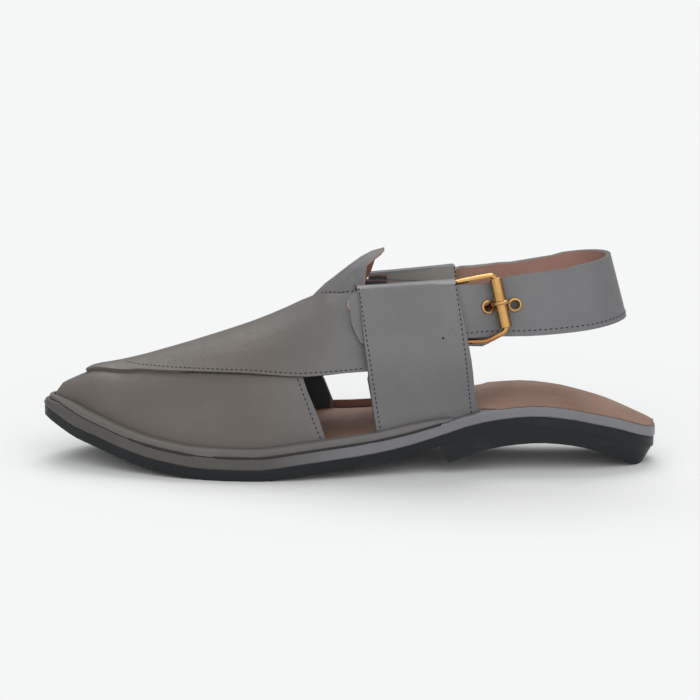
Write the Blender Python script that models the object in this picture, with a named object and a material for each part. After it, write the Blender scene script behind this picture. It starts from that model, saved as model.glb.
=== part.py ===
"""Peshawari chappal, left shoe: a slingback leather sandal with crossed vamp panels.

Axes: X runs along the shoe, toe at -X and heel at +X. Y runs across it, with the
outer (lateral, buckle) side at -Y. Z is up, and the shoe stands on z = 0.
Sizes are in millimetres and are turned to metres when a mesh is made.
"""

import math
from collections import namedtuple

import bmesh
import bpy
from mathutils import Vector

MM = 0.001

# Driving sizes of the sole, in mm
OUTSOLE_THICK = 5.1
MIDSOLE_THICK_TOE = 5.8
MIDSOLE_THICK_TIP = 1.1
MIDSOLE_NOSE_DROP = 3.9
MIDSOLE_THICK_HEEL = 4.8
HEEL_FRONT_TOP = 40.8
HEEL_FRONT_BOTTOM = 45.2
HEEL_REAR_RAKE = 4.6
TOE_RAKE = 1.4
RAND_HEIGHT = 3.6
RAND_HEIGHT_TOE = 2.0
RAND_END = 47.0
INSOLE_EDGE = 0.6
INSOLE_THICK = 1.7
GAP = 0.3

# Distances in from the sole's edge, in mm
RAND_OUT = 0.5
RAND_OUT_TOE = 3.0
RAND_IN_OUTER_SIDE = 4.9
RAND_IN_INNER_SIDE = 3.4
RAND_SLEEVE_ROOM = 1.1
LAST_IN = 6.8
INSOLE_IN_FRONT = 7.2
INSOLE_IN_HEEL = 0.9
INSOLE_WIDENS_FROM = 62.0
INSOLE_WIDE_AT = 67.0

# Layers of the upper, as distances out from the last, in mm
UNDER_LAYER = (0.0, 1.6)
OVER_LAYER = (1.1, 3.1)
TONGUE_LAYER = (-1.0, 0.8)
STRAP_THICK = 2.2
SLEEVE_THICK = 1.6
FLAP_SINK = 1.6
FLAP_FROM = 50.0
LAYER_GAP = 0.7
BAR_LIFT = 3.4

# Buckle, in mm
WIRE = 2.6
ROLLER_DIAMETER = 5.8
ROLLER_LENGTH = 23.4
BUCKLE_TILT = math.radians(12.3)
ROLLER_AT = (68.1, 79.6)
BAR_AT = (46.6, 74.9)
BAR_LENGTH = 27.0
WIRE_BENDS = ((57.5, 91.3), (62.0, 62.6))
PRONG = 1.8
BAR_RAISE = 0.8
PRONG_WRAP = (192, 165, 138, 112, 88, 62, 44)
EYELET_OUTER = 6.8
EYELET_BORE = 3.9
EYELET_HOLE = 5.2
EYELET_PLACES = (("eyelet_front", 62.4, 77.9), ("eyelet_rear", 75.0, 78.9))

# Sole stations: x, height of the outsole's underside, half widths on the two sides
Station = namedtuple("Station", "x under outer_side inner_side")
SOLE = [
    Station(-145.5, 20.6, 0.0, 0.0),
    Station(-144.3, 20.2, 4.6, 5.2),
    Station(-141.0, 18.5, 8.8, 10.4),
    Station(-136.0, 16.0, 13.6, 16.2),
    Station(-129.5, 13.2, 19.6, 22.6),
    Station(-118.0, 10.0, 27.8, 31.0),
    Station(-106.0, 6.1, 34.6, 37.2),
    Station(-94.0, 3.2, 40.2, 41.8),
    Station(-83.0, 1.6, 44.6, 45.2),
    Station(-68.0, 0.0, 48.2, 48.0),
    Station(-55.0, 0.0, 50.2, 49.0),
    Station(-44.0, 0.0, 50.8, 48.6),
    Station(-26.0, 2.3, 49.8, 46.0),
    Station(-10.0, 4.0, 46.6, 41.4),
    Station(7.0, 5.6, 42.2, 36.4),
    Station(24.0, 8.5, 38.0, 32.6),
    Station(41.0, 13.2, 35.2, 31.2),
    Station(57.0, 18.0, 32.6, 29.6),
    Station(72.0, 20.4, 30.6, 28.2),
    Station(86.0, 21.4, 29.9, 27.3),
    Station(102.0, 19.9, 29.2, 26.8),
    Station(115.0, 17.1, 27.4, 25.4),
    Station(126.0, 14.3, 24.2, 22.6),
    Station(135.0, 11.1, 20.2, 19.0),
    Station(142.0, 8.6, 14.8, 14.0),
    Station(146.0, 7.5, 8.2, 7.8),
    Station(147.4, 7.2, 0.0, 0.0),
]

# Heel underside: x and height; the last stretch is the flat spot it stands on
HEEL_UNDER = [(44.5, 5.2), (52.5, 7.9), (64.0, 11.1), (76.0, 12.9), (88.0, 13.7),
              (98.0, 13.1), (109.0, 11.2), (120.0, 7.6), (130.0, 3.5), (137.5, 0.0),
              (148.0, 0.0)]

# Last sections: x, height of the ridge, its sideways place, pinch of the top
Section = namedtuple("Section", "x ridge ridge_y pinch")
LAST = [
    Section(-138.6, 31.6, 1.0, 1.0),
    Section(-135.0, 34.0, 1.0, 1.0),
    Section(-130.7, 36.1, 1.0, 1.0),
    Section(-125.0, 38.6, 1.0, 1.0),
    Section(-120.0, 40.9, 1.0, 1.0),
    Section(-111.0, 42.3, 1.5, 1.0),
    Section(-100.0, 44.6, 2.0, 1.0),
    Section(-88.0, 48.0, 2.0, 1.0),
    Section(-77.0, 51.3, 2.0, 1.0),
    Section(-65.0, 55.2, 2.0, 1.0),
    Section(-54.0, 58.9, 2.0, 1.0),
    Section(-43.0, 63.0, 2.0, 1.0),
    Section(-31.6, 68.0, 2.0, 1.0),
    Section(-21.0, 73.4, 1.0, 1.0),
    Section(-14.6, 79.0, 0.5, 1.0),
    Section(-3.4, 88.4, 0.0, 1.0),
    Section(7.9, 96.6, 0.0, 1.02),
    Section(15.0, 99.4, 0.0, 1.02),
    Section(30.0, 100.0, 0.0, 1.0),
    Section(48.0, 99.5, 0.0, 0.86),
    Section(60.0, 99.5, 0.0, 0.62),
    Section(70.0, 99.5, 0.0, 0.44),
    Section(86.0, 99.5, 0.0, 0.34),
]
NOSE_LENGTH = 3.0
FOOT_REACH = 2.0

TOE = SOLE[0].x
LAST_TOE = LAST[0].x
THROAT = -21.0
OVER_FRONT = -124.0

# Rear edge of a vamp panel's own side: share of the rise to the ridge, and x
REAR_EDGE = [(0.0, -11.8), (0.05, -12.8), (0.35, -19.0), (0.52, -23.0), (0.76, -25.6),
             (1.0, -21.0)]
INNER_SIDE_SHIFT = 6.0

# Crossed strap edges along x: height of the lower edge, height of the upper edge
StrapEdge = namedtuple("StrapEdge", "x lower upper")
OVER_STRAP = [
    StrapEdge(-99.0, 45.0, None),
    StrapEdge(-70.7, 46.7, None),
    StrapEdge(-48.4, 47.5, None),
    StrapEdge(-24.5, 46.9, None),
    StrapEdge(-6.0, 48.3, 84.3),
    StrapEdge(6.0, 48.8, 85.8),
    StrapEdge(30.0, 52.0, 84.6),
    StrapEdge(50.0, 59.7, 82.0),
    StrapEdge(60.0, 59.2, 80.0),
    StrapEdge(65.6, 62.0, 75.0),
    StrapEdge(68.0, 65.0, 71.0),
]
UNDER_STRAP = [
    StrapEdge(-99.0, 38.0, None),
    StrapEdge(-70.7, 43.0, None),
    StrapEdge(-48.4, 46.0, None),
    StrapEdge(-24.5, 46.9, None),
    StrapEdge(-6.0, 48.0, 82.6),
    StrapEdge(6.0, 48.6, 84.4),
    StrapEdge(30.0, 50.0, 84.0),
    StrapEdge(52.0, 54.0, 82.0),
]

# Tongue: how far back it reaches at each share of the way down from the ridge
TONGUE_REAR = [(0.0, 15.6), (0.1, 14.2), (0.16, 12.0), (0.21, 9.0), (0.25, 6.0),
               (0.29, 4.6), (0.36, 3.6), (0.5, 2.0), (0.62, 0.0)]
TONGUE_FRONT = -46.0
TONGUE_LIFT = 1.3
TONGUE_SPREAD = 0.6

# Side sleeves: x of the front and rear edge at the foot and at the top, top heights
Sleeve = namedtuple("Sleeve", "side foot_front foot_rear top_front top_rear "
                              "front_height rear_height inner")
OUTER_SLEEVE = Sleeve(-1, 11.0, 59.4, 1.6, 47.4, 88.8, 92.1, 0.0)
INNER_SLEEVE = Sleeve(1, 15.0, 60.0, 9.2, 50.4, 87.4, 92.0, 1.1)
SLEEVE_FOOT = 20.0
SLEEVE_OPENS = 28.0
SLEEVE_WIDE = 60.0

# Heel strap: x on the straight run, edges and how far out its middle rides
StrapRun = namedtuple("StrapRun", "x lower upper out")
HEEL_STRAP_RUN = [
    StrapRun(-2.6, 75.0, 79.6, 4.9),
    StrapRun(-1.2, 71.6, 81.2, 4.9),
    StrapRun(0.8, 66.4, 82.6, 4.9),
    StrapRun(3.4, 61.6, 84.0, 4.9),
    StrapRun(9.0, 60.8, 85.2, 4.9),
    StrapRun(28.0, 62.2, 86.4, 4.9),
    StrapRun(41.0, 63.6, 87.4, 8.1),
    StrapRun(52.0, 64.2, 87.7, 7.9),
    StrapRun(59.0, 64.3, 88.0, 6.2),
    StrapRun(66.0, 64.3, 89.4, 4.8),
    StrapRun(72.0, 64.3, 91.4, 4.6),
    StrapRun(78.0, 64.4, 92.5, 4.6),
]
STRAP_TURN_X = 103.0
STRAP_BACK_TOP = 121.6
STRAP_BACK_LOW = 130.4
STRAP_HALF_TOP = 23.5
STRAP_HALF_LOW = 26.0
STRAP_BACK_EDGES = (70.6, 100.4)
INNER_SIDE_DROP = 1.2
INNER_END_X = 16.0

COLOURS = {
    "grey_leather": ((0.20, 0.19, 0.175), 0.55, 0.0),
    "edge_leather": ((0.24, 0.235, 0.24), 0.5, 0.0),
    "black_sole": ((0.02, 0.025, 0.028), 0.45, 0.0),
    "tan_leather": ((0.30, 0.18, 0.14), 0.6, 0.0),
    "brass": ((0.58, 0.30, 0.06), 0.3, 1.0),
}


def smooth_read(rows, x, column):
    """Read one column of a table at x with a shape-keeping cubic."""
    xs = [row[0] for row in rows]
    ys = [row[column] for row in rows]
    if x <= xs[0]:
        return ys[0]
    if x >= xs[-1]:
        return ys[-1]
    steps = [(ys[i + 1] - ys[i]) / (xs[i + 1] - xs[i]) for i in range(len(xs) - 1)]
    slopes = [steps[0]]
    for before, after in zip(steps, steps[1:]):
        if before * after <= 0.0:
            slopes.append(0.0)
        else:
            slopes.append(2.0 * before * after / (before + after))
    slopes.append(steps[-1])
    i = max(k for k in range(len(xs) - 1) if xs[k] <= x)
    width = xs[i + 1] - xs[i]
    t = (x - xs[i]) / width
    return ((2 * t ** 3 - 3 * t ** 2 + 1) * ys[i]
            + (t ** 3 - 2 * t ** 2 + t) * width * slopes[i]
            + (3 * t ** 2 - 2 * t ** 3) * ys[i + 1]
            + (t ** 3 - t ** 2) * width * slopes[i + 1])


def ease(t):
    """Return a smooth 0 to 1 step."""
    t = min(1.0, max(0.0, t))
    return t * t * (3.0 - 2.0 * t)


def along_sole(count=52):
    """X places that every layer of the sole shares, so that their faces match."""
    middle = 0.5 * (SOLE[0].x + SOLE[-1].x)
    reach = 0.5 * (SOLE[-1].x - SOLE[0].x)
    return [middle - reach * math.cos(math.pi * i / count) for i in range(count + 1)]


SOLE_XS = along_sole()
LEVELS = {}


def level(name, x, height):
    """Read a height that runs straight between the sole's shared places."""
    if name not in LEVELS:
        LEVELS[name] = [height(place) for place in SOLE_XS]
    values = LEVELS[name]
    if x <= SOLE_XS[0]:
        return values[0]
    if x >= SOLE_XS[-1]:
        return values[-1]
    i = max(k for k in range(len(SOLE_XS) - 1) if SOLE_XS[k] <= x)
    share = (x - SOLE_XS[i]) / (SOLE_XS[i + 1] - SOLE_XS[i])
    return values[i] + (values[i + 1] - values[i]) * share


def under(x):
    """Height of the outsole's underside."""
    return level("under", x, lambda place: smooth_read(SOLE, place, 1))


def midsole_thick(x):
    """Thickness of the wrapped midsole, a little less under the heel."""
    share = ease((x - 20.0) / 50.0)
    tip = (MIDSOLE_THICK_TIP * ease((-118.0 - x) / 18.0)
           - MIDSOLE_NOSE_DROP * ease((-133.0 - x) / 12.5))
    return MIDSOLE_THICK_TOE + tip + (MIDSOLE_THICK_HEEL - MIDSOLE_THICK_TOE) * share


def seat(x):
    """Height of the midsole's top."""
    return level("seat", x, lambda place: under(place) + OUTSOLE_THICK + midsole_thick(place))


def sole_half(x, side):
    """Half width of the sole on one side, round at both ends."""
    column = 2 if side < 0 else 3
    for end, inward in ((SOLE[0], SOLE[1]), (SOLE[-1], SOLE[-2])):
        depth = abs(inward.x - end.x)
        share = abs(x - end.x) / depth
        if share < 1.0:
            return inward[column] * math.sqrt(max(0.0, share))
    return smooth_read(SOLE, x, column)


def sole_outline(side, count=160):
    """Edge points of one side, close together near the ends."""
    points = []
    length = SOLE[-1].x - TOE
    for i in range(count + 1):
        x = TOE + length * 0.5 * (1.0 - math.cos(math.pi * i / count))
        points.append((x, sole_half(x, side)))
    return points


def inset_outline(side, distance):
    """Edge points moved inwards by a distance, as (x, half width) pairs."""
    points = sole_outline(side)
    moved = []
    for i, (x, y) in enumerate(points):
        before = points[max(0, i - 1)]
        after = points[min(len(points) - 1, i + 1)]
        run = (after[0] - before[0], after[1] - before[1])
        size = math.hypot(*run) or 1.0
        if i == 0:
            normal = (1.0, 0.0)
        elif i == len(points) - 1:
            normal = (-1.0, 0.0)
        else:
            normal = (run[1] / size, -run[0] / size)
        moved.append((x + normal[0] * distance, y + normal[1] * distance))
    kept = [moved[0]]
    for point in moved[1:]:
        if point[0] > kept[-1][0] + 0.02 and point[1] >= 0.0:
            kept.append(point)
    kept[0] = (kept[0][0], 0.0)
    return kept


OUTLINES = {}


def half_inside(x, side, distance):
    """Half width at x of the sole's outline moved inwards by a distance."""
    key = (side, distance)
    if key not in OUTLINES:
        OUTLINES[key] = inset_outline(side, distance)
    points = OUTLINES[key]
    if x <= points[0][0] or x >= points[-1][0]:
        return 0.0
    for a, b in zip(points, points[1:]):
        if a[0] <= x <= b[0]:
            return a[1] + (b[1] - a[1]) * (x - a[0]) / (b[0] - a[0])
    return 0.0


def last_point(x, u):
    """Point of the last: u runs from -1 at the outer feather to 1 at the inner."""
    side = -1 if u < 0 else 1
    angle = abs(u) * math.pi / 2.0
    base = max(seat(x), seat(x - FOOT_REACH)) + GAP
    nose = math.sqrt(min(1.0, max(0.0, (x - LAST_TOE + 0.02) / NOSE_LENGTH)))
    ridge = base + (smooth_read(LAST, x, 1) - base) * nose
    ridge_y = smooth_read(LAST, x, 2)
    pinch = smooth_read(LAST, x, 3)
    half = half_inside(x, side, LAST_IN)
    edge = side * half
    y = ridge_y + (edge - ridge_y) * math.sin(angle) ** pinch
    z = base + (ridge - base) * math.cos(angle)
    return Vector((x, y, z))


def last_normal(x, u):
    """Outward direction of the last at a point."""
    step_x = 0.8
    step_u = 0.01
    low_u = max(-1.0, u - step_u)
    high_u = min(1.0, u + step_u)
    along = last_point(x + step_x, u) - last_point(max(LAST_TOE + 0.3, x - step_x), u)
    across = last_point(x, high_u) - last_point(x, low_u)
    return along.cross(across).normalized()


def out_point(x, u, distance):
    """Point a distance out from the last."""
    return last_point(x, u) + last_normal(x, u) * distance


def find_u(x, side, height, distance=0.0):
    """Share round the last where a point that far out has the given height."""
    low = 0.0
    high = 1.0
    for _ in range(32):
        middle = 0.5 * (low + high)
        if out_point(x, side * middle, distance).z > height:
            low = middle
        else:
            high = middle
    return side * 0.5 * (low + high)


def make_object(name, points, faces, material):
    """Make an object from points in mm and triangles or quads."""
    mesh = bpy.data.meshes.new(name)
    mesh.from_pydata([tuple(c * MM for c in point) for point in points], [], faces)
    work = bmesh.new()
    work.from_mesh(mesh)
    bmesh.ops.remove_doubles(work, verts=work.verts, dist=0.00001)
    bmesh.ops.dissolve_degenerate(work, edges=work.edges, dist=0.000005)
    bmesh.ops.triangulate(work, faces=work.faces)
    bmesh.ops.recalc_face_normals(work, faces=work.faces)
    work.to_mesh(mesh)
    work.free()
    mesh.shade_smooth()
    mesh.set_sharp_from_angle(angle=math.radians(35.0))
    thing = bpy.data.objects.new(name, mesh)
    bpy.context.scene.collection.objects.link(thing)
    mesh.materials.append(get_material(material))
    return thing


def get_material(name):
    """Return the plain material of that name."""
    found = bpy.data.materials.get(name)
    if found:
        return found
    colour, roughness, metallic = COLOURS[name]
    material = bpy.data.materials.new(name)
    material.use_nodes = True
    shader = material.node_tree.nodes["Principled BSDF"]
    shader.inputs["Base Color"].default_value = (*colour, 1.0)
    shader.inputs["Roughness"].default_value = roughness
    shader.inputs["Metallic"].default_value = metallic
    return material


def combine(target, other, operation, solver="EXACT"):
    """Apply a Boolean to the target and remove the other object."""
    modifier = target.modifiers.new("combine", "BOOLEAN")
    modifier.operation = operation
    modifier.solver = solver
    modifier.object = other
    bpy.context.view_layer.update()
    view = bpy.context.evaluated_depsgraph_get()
    mesh = bpy.data.meshes.new_from_object(target.evaluated_get(view))
    target.modifiers.remove(modifier)
    old = target.data
    target.data = mesh
    bpy.data.meshes.remove(old)
    bpy.data.objects.remove(other)


def tidy_mesh(thing, distance=0.00002):
    """Merge points that lie on each other, drop folded faces and triangulate."""
    work = bmesh.new()
    work.from_mesh(thing.data)
    bmesh.ops.triangulate(work, faces=work.faces)
    bmesh.ops.remove_doubles(work, verts=work.verts, dist=distance)
    bmesh.ops.dissolve_degenerate(work, edges=work.edges, dist=distance)
    bmesh.ops.triangulate(work, faces=work.faces)
    alike = {}
    for face in work.faces:
        alike.setdefault(frozenset(face.verts), []).append(face)
    folded = [face for faces in alike.values() if len(faces) > 1 for face in faces]
    bmesh.ops.delete(work, geom=folded, context="FACES")
    work.to_mesh(thing.data)
    work.free()
    thing.data.shade_smooth()
    thing.data.set_sharp_from_angle(angle=math.radians(35.0))


def fill_bubbles(thing):
    """Keep the largest shell: the others are small bubbles shut in between layers."""
    work = bmesh.new()
    work.from_mesh(thing.data)
    left = set(work.faces)
    shells = []
    while left:
        first = left.pop()
        shell = [first]
        for face in shell:
            for edge in face.edges:
                for other in edge.link_faces:
                    if other in left:
                        left.remove(other)
                        shell.append(other)
        shells.append(shell)
    shells.sort(key=len)
    for shell in shells[:-1]:
        bmesh.ops.delete(work, geom=shell, context="FACES")
    work.to_mesh(thing.data)
    work.free()


def grid_solid(name, inner, outer, material):
    """Close two matching grids of points into one thin-walled solid."""
    rows = len(inner)
    cols = len(inner[0])
    points = [p for row in inner for p in row] + [p for row in outer for p in row]
    shift = rows * cols
    faces = []

    def place(i, j):
        return i * cols + j

    for i in range(rows - 1):
        for j in range(cols - 1):
            a, b, c, d = place(i, j), place(i, j + 1), place(i + 1, j + 1), place(i + 1, j)
            faces += [(a, c, b), (a, d, c)]
            a, b, c, d = a + shift, b + shift, c + shift, d + shift
            faces += [(a, b, c), (a, c, d)]
    rim = [place(0, j) for j in range(cols)]
    rim += [place(i, cols - 1) for i in range(1, rows)]
    rim += [place(rows - 1, j) for j in range(cols - 2, -1, -1)]
    rim += [place(i, 0) for i in range(rows - 2, 0, -1)]
    for a, b in zip(rim, rim[1:] + rim[:1]):
        faces += [(a, b, b + shift), (a, b + shift, a + shift)]
    return make_object(name, points, faces, material)


def sweep_solid(name, rings, material):
    """Close a row of matching rings into one solid with flat ends."""
    count = len(rings[0])
    points = [p for ring in rings for p in ring]
    faces = []
    for i in range(len(rings) - 1):
        for j in range(count):
            a = i * count + j
            b = i * count + (j + 1) % count
            faces += [(a, b, b + count), (a, b + count, a + count)]
    faces.append(tuple(range(count)))
    faces.append(tuple((len(rings) - 1) * count + j for j in range(count)))
    return make_object(name, points, faces, material)


def stations(start, end, count, ends_close=(True, True)):
    """X places along the shoe, closer together at the ends that are round."""
    places = []
    for i in range(count + 1):
        t = i / count
        if ends_close[0] and ends_close[1]:
            t = 0.5 * (1.0 - math.cos(math.pi * t))
        elif ends_close[0]:
            t = 1.0 - math.cos(math.pi * t / 2.0)
        elif ends_close[1]:
            t = math.sin(math.pi * t / 2.0)
        places.append(start + (end - start) * t)
    return places


def between(start, end):
    """The sole's shared places between two ends, with the ends themselves."""
    return [start] + [x for x in SOLE_XS if start + 0.3 < x < end - 0.3] + [end]


def slab(name, start, end, bottom, top, half, material,
         low_ends=(0.0, 0.0), high_ends=(0.0, 0.0)):
    """Make a sole layer from two heights and a half width, all read along x.

    low_ends and high_ends move the two ends of each face inwards along x.
    """
    inner = []
    outer = []
    for x in between(start, end):
        share = (x - start) / (end - start)
        low_x = x + low_ends[0] * (1.0 - share) - low_ends[1] * share
        high_x = x + high_ends[0] * (1.0 - share) ** 6
        inner.append([Vector((low_x, -half(x, -1), bottom(low_x))),
                      Vector((low_x, half(x, 1), bottom(low_x)))])
        outer.append([Vector((high_x, -half(x, -1), top(high_x))),
                      Vector((high_x, half(x, 1), top(high_x)))])
    return grid_solid(name, inner, outer, material)


def build_sole():
    """Outsole, heel and midsole, each from the sole's own outline."""
    end = SOLE[-1].x

    def outsole_half(x, side):
        return half_inside(x, side, 0.6)

    def midsole_half(x, side):
        return sole_half(x, side)

    def heel_under(x):
        return smooth_read(HEEL_UNDER, x, 1)

    slab("outsole", TOE + 0.65, end - 0.65, under,
         lambda x: under(x) + OUTSOLE_THICK, outsole_half, "black_sole")
    slab("midsole", TOE, end, lambda x: under(x) + OUTSOLE_THICK + GAP * 0.1, seat,
         midsole_half, "edge_leather", high_ends=(TOE_RAKE, 0.0))
    slab("heel", HEEL_FRONT_TOP, end - 0.95, heel_under, lambda x: under(x) - GAP * 0.1,
         lambda x, side: half_inside(x, side, 0.9), "black_sole",
         low_ends=(HEEL_FRONT_BOTTOM - HEEL_FRONT_TOP, HEEL_REAR_RAKE))


def insole_half(x, side):
    """Half width of the insole: inside the upper in front, full at the heel."""
    share = ease((x - INSOLE_WIDENS_FROM) / (INSOLE_WIDE_AT - INSOLE_WIDENS_FROM))
    front = half_inside(x, side, INSOLE_IN_FRONT)
    return front + (half_inside(x, side, INSOLE_IN_HEEL) - front) * share


def build_insole():
    """Padded insole on the midsole, thin at its edge and fuller in the middle."""
    start = TOE + INSOLE_IN_FRONT + 1.0
    end = SOLE[-1].x - INSOLE_IN_HEEL - 0.1
    shares = [-1.0, -0.78, 0.0, 0.78, 1.0]
    bottom = []
    top = []
    for x in between(start, end):
        base = seat(x) + GAP * 0.4
        low = []
        high = []
        for share in shares:
            y = share * insole_half(x, -1 if share < 0 else 1)
            rise = INSOLE_EDGE + (INSOLE_THICK - INSOLE_EDGE) * (1.0 - abs(share) ** 3.0)
            low.append(Vector((x, y, base)))
            high.append(Vector((x, y, base + rise)))
        bottom.append(low)
        top.append(high)
    grid_solid("insole", bottom, top, "tan_leather")


def build_rand():
    """Welt bead round the forefoot, from the outer waist over the toe to the inner."""
    rings = []

    def ring(x, side, toe_share):
        inside = RAND_IN_OUTER_SIDE if side < 0 else RAND_IN_INNER_SIDE
        if side > 0:
            inside += (RAND_IN_OUTER_SIDE - RAND_IN_INNER_SIDE) * toe_share
        else:
            inside -= RAND_SLEEVE_ROOM * ease((x + 2.0) / 8.0)
        outer = rand_edge(x, side, RAND_OUT + (RAND_OUT_TOE - RAND_OUT) * ease((-133.0 - x) / 10.0))
        inner = rand_edge(x, side, inside)
        fade = ease((RAND_END + 4.0 - x) / 22.0)
        full = RAND_HEIGHT + (RAND_HEIGHT_TOE - RAND_HEIGHT) * ease((-130.0 - x) / 10.0)
        height = 0.9 + (full - 0.9) * fade
        base_out = seat(outer.x) + GAP
        base_in = seat(inner.x) + GAP
        return [Vector((outer.x, outer.y, base_out)),
                Vector((outer.x, outer.y, base_out + height * 0.6)),
                Vector((0.75 * outer.x + 0.25 * inner.x, 0.75 * outer.y + 0.25 * inner.y,
                        base_out + height * 0.92)),
                Vector((0.4 * outer.x + 0.6 * inner.x, 0.4 * outer.y + 0.6 * inner.y,
                        base_in + height)),
                Vector((inner.x, inner.y, base_in + height)),
                Vector((inner.x, inner.y, base_in))]

    count = 34
    xs = stations(TOE, RAND_END, count, ends_close=(True, False))
    for x in reversed(xs):
        rings.append(ring(x, -1, 0.0))
    for x in xs[1:]:
        rings.append(ring(x, 1, ease((-127.5 - x) / 6.0)))
    sweep_solid("rand", rings, "grey_leather")


def rand_edge(x, side, distance):
    """Point of the outline near x, moved inwards along the outline's normal."""
    step = 0.05
    low = max(TOE, x - step)
    high = x + step
    run = Vector((high - low, sole_half(high, side) - sole_half(low, side)))
    run.normalize()
    if x <= TOE:
        run = Vector((0.0, 1.0))
    normal = Vector((run.y, -run.x))
    y = sole_half(x, side) + normal.y * distance
    return Vector((x + normal.x * distance, side * max(0.0, y)))


def edge_u(rows, x, side, column, distance):
    """Share round the last for a strap edge given as a height of its outer face."""
    usable = [(row.x, row[column]) for row in rows if row[column] is not None]
    height = smooth_read(usable, x, 1)
    return abs(find_u(x, side, height, distance))


def panel_columns(x, rows, foot_side, front, distance, own_count, cross_count):
    """Shares round the last for one row of a vamp panel, own side first.

    front holds the crossing edge's share at the panel's front, where it starts to
    move towards the ridge, and the power of that curve.
    """
    cross = -foot_side
    if x > rows[0].x:
        low = edge_u(rows, x, cross, 1, distance)
    else:
        end_u = edge_u(rows, rows[0].x, cross, 1, distance)
        share = max(0.0, (x - front[1]) / (rows[0].x - front[1]))
        low = front[0] + (end_u - front[0]) * math.sin(math.pi / 2.0 * share) ** front[2]
    high = 0.0
    if x > THROAT:
        first = next(row for row in rows if row.upper is not None)
        if x < first.x:
            target = edge_u(rows, first.x, cross, 2, distance)
            high = target * ((x - THROAT) / (first.x - THROAT)) ** 0.8
        else:
            high = edge_u(rows, x, cross, 2, distance)
    own = [foot_side * (1.0 - j / own_count) for j in range(own_count)]
    across = [cross * (high + (low - high) * j / cross_count) for j in range(cross_count + 1)]
    return own, across


def vamp_panel(name, foot_side, layer, start, front_share, rows, end):
    """One vamp panel: its own side of the shoe, the ridge, and the crossing strap."""
    own_count = 7
    cross_count = 4
    front = stations(start, THROAT, 20, ends_close=(True, False))
    back = stations(THROAT, end, 15, ends_close=(False, True))[1:]
    solids = []
    for distance in layer:
        grid = []
        for x in front:
            own, across = panel_columns(x, rows, foot_side, front_share, layer[1],
                                        own_count, cross_count)
            row = []
            for u in own:
                rear = rear_edge(u, foot_side)
                stretched = start + (x - start) * (rear - start) / (THROAT - start)
                row.append(out_point(stretched, u, distance))
            row += [out_point(x, u, distance) for u in across]
            grid.append(row)
        tail = []
        for x in back:
            _, across = panel_columns(x, rows, foot_side, front_share, layer[1],
                                      own_count, cross_count)
            sunk = distance - FLAP_SINK * ease((x - FLAP_FROM) / 6.0)
            tail.append([out_point(x, u, sunk) for u in across])
        solids.append((grid, tail))
    return stitched_solid(name, solids, own_count, "grey_leather")


def rear_edge(u, side):
    """X of a panel's rear edge, from the feather line up to the ridge."""
    rise = math.cos(abs(u) * math.pi / 2.0)
    shift = INNER_SIDE_SHIFT * (1.0 - rise) if side > 0 else 0.0
    return smooth_read(REAR_EDGE, rise, 1) + shift


def stitched_solid(name, layers, own_count, material):
    """Close a front grid and a narrower tail grid, which share a row, into one solid."""
    points = []
    index = []
    for grid, tail in layers:
        place = {}
        for i, row in enumerate(grid):
            for j, point in enumerate(row):
                place[(i, j)] = len(points)
                points.append(point)
        for i, row in enumerate(tail):
            for j, point in enumerate(row):
                place[(len(grid) + i, own_count + j)] = len(points)
                points.append(point)
        index.append(place)
    grid, tail = layers[0]
    rows = len(grid)
    cols = len(grid[0])
    cells = [(i, j) for i in range(rows - 1) for j in range(cols - 1)]
    cells += [(i, j) for i in range(rows - 1, rows - 1 + len(tail)) for j in range(own_count, cols - 1)]
    faces = []
    edges = {}
    for i, j in cells:
        corners = [(i, j), (i, j + 1), (i + 1, j + 1), (i + 1, j)]
        a, b, c, d = [index[0][corner] for corner in corners]
        faces += [(a, c, b), (a, d, c)]
        a, b, c, d = [index[1][corner] for corner in corners]
        faces += [(a, b, c), (a, c, d)]
        for one, two in zip(corners, corners[1:] + corners[:1]):
            if (two, one) in edges:
                del edges[(two, one)]
            else:
                edges[(one, two)] = True
    for one, two in edges:
        a, b = index[0][one], index[0][two]
        c, d = index[1][two], index[1][one]
        faces += [(a, b, c), (a, c, d)]
    return make_object(name, points, faces, material)


def tongue():
    """Arched tongue that rises from under the crossing panels to a rounded point."""
    shares = [-1.0 + 2.0 * j / 12 for j in range(13)]
    grids = []
    for distance in TONGUE_LAYER:
        grid = []
        for i in range(13):
            row = []
            for share in shares:
                u = share * TONGUE_SPREAD
                rear = smooth_read(TONGUE_REAR, abs(u), 1)
                if u > 0.22:
                    rear += 3.0 * ease((u - 0.22) / 0.1)
                x = TONGUE_FRONT + (rear - TONGUE_FRONT) * i / 12
                lift = TONGUE_LIFT * ease((x + 20.0) / 8.0) * ease((0.45 - abs(u)) / 0.2)
                row.append(out_point(x, u, distance + lift))
            grid.append(row)
        grids.append(grid)
    return grid_solid("tongue", grids[0], grids[1], "grey_leather")


def sleeve_top(sleeve, share):
    """Height of a sleeve's folded top at a share of its width."""
    share = min(1.0, max(0.0, share))
    return sleeve.front_height + (sleeve.rear_height - sleeve.front_height) * share


def sleeve_x(sleeve, share, height):
    """X across a side sleeve at a share of its width, slanted with height."""
    t = (height - SLEEVE_FOOT) / (sleeve_top(sleeve, share) - SLEEVE_FOOT)
    front = sleeve.foot_front + (sleeve.top_front - sleeve.foot_front) * t
    rear = sleeve.foot_rear + (sleeve.top_rear - sleeve.foot_rear) * t
    return front + (rear - front) * share


def sleeve_out(sleeve, x, height):
    """How far out the outer layer's inner face rides, closed below and wide above."""
    bar_lift = BAR_LIFT * ease((x - 12.0) / 32.0)
    wide = OVER_LAYER[1] + LAYER_GAP + STRAP_THICK + LAYER_GAP
    if sleeve.side < 0:
        wide += bar_lift
    closed = OVER_LAYER[0]
    return closed + (wide - closed) * ease((height - SLEEVE_OPENS) / (SLEEVE_WIDE - SLEEVE_OPENS))


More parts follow.
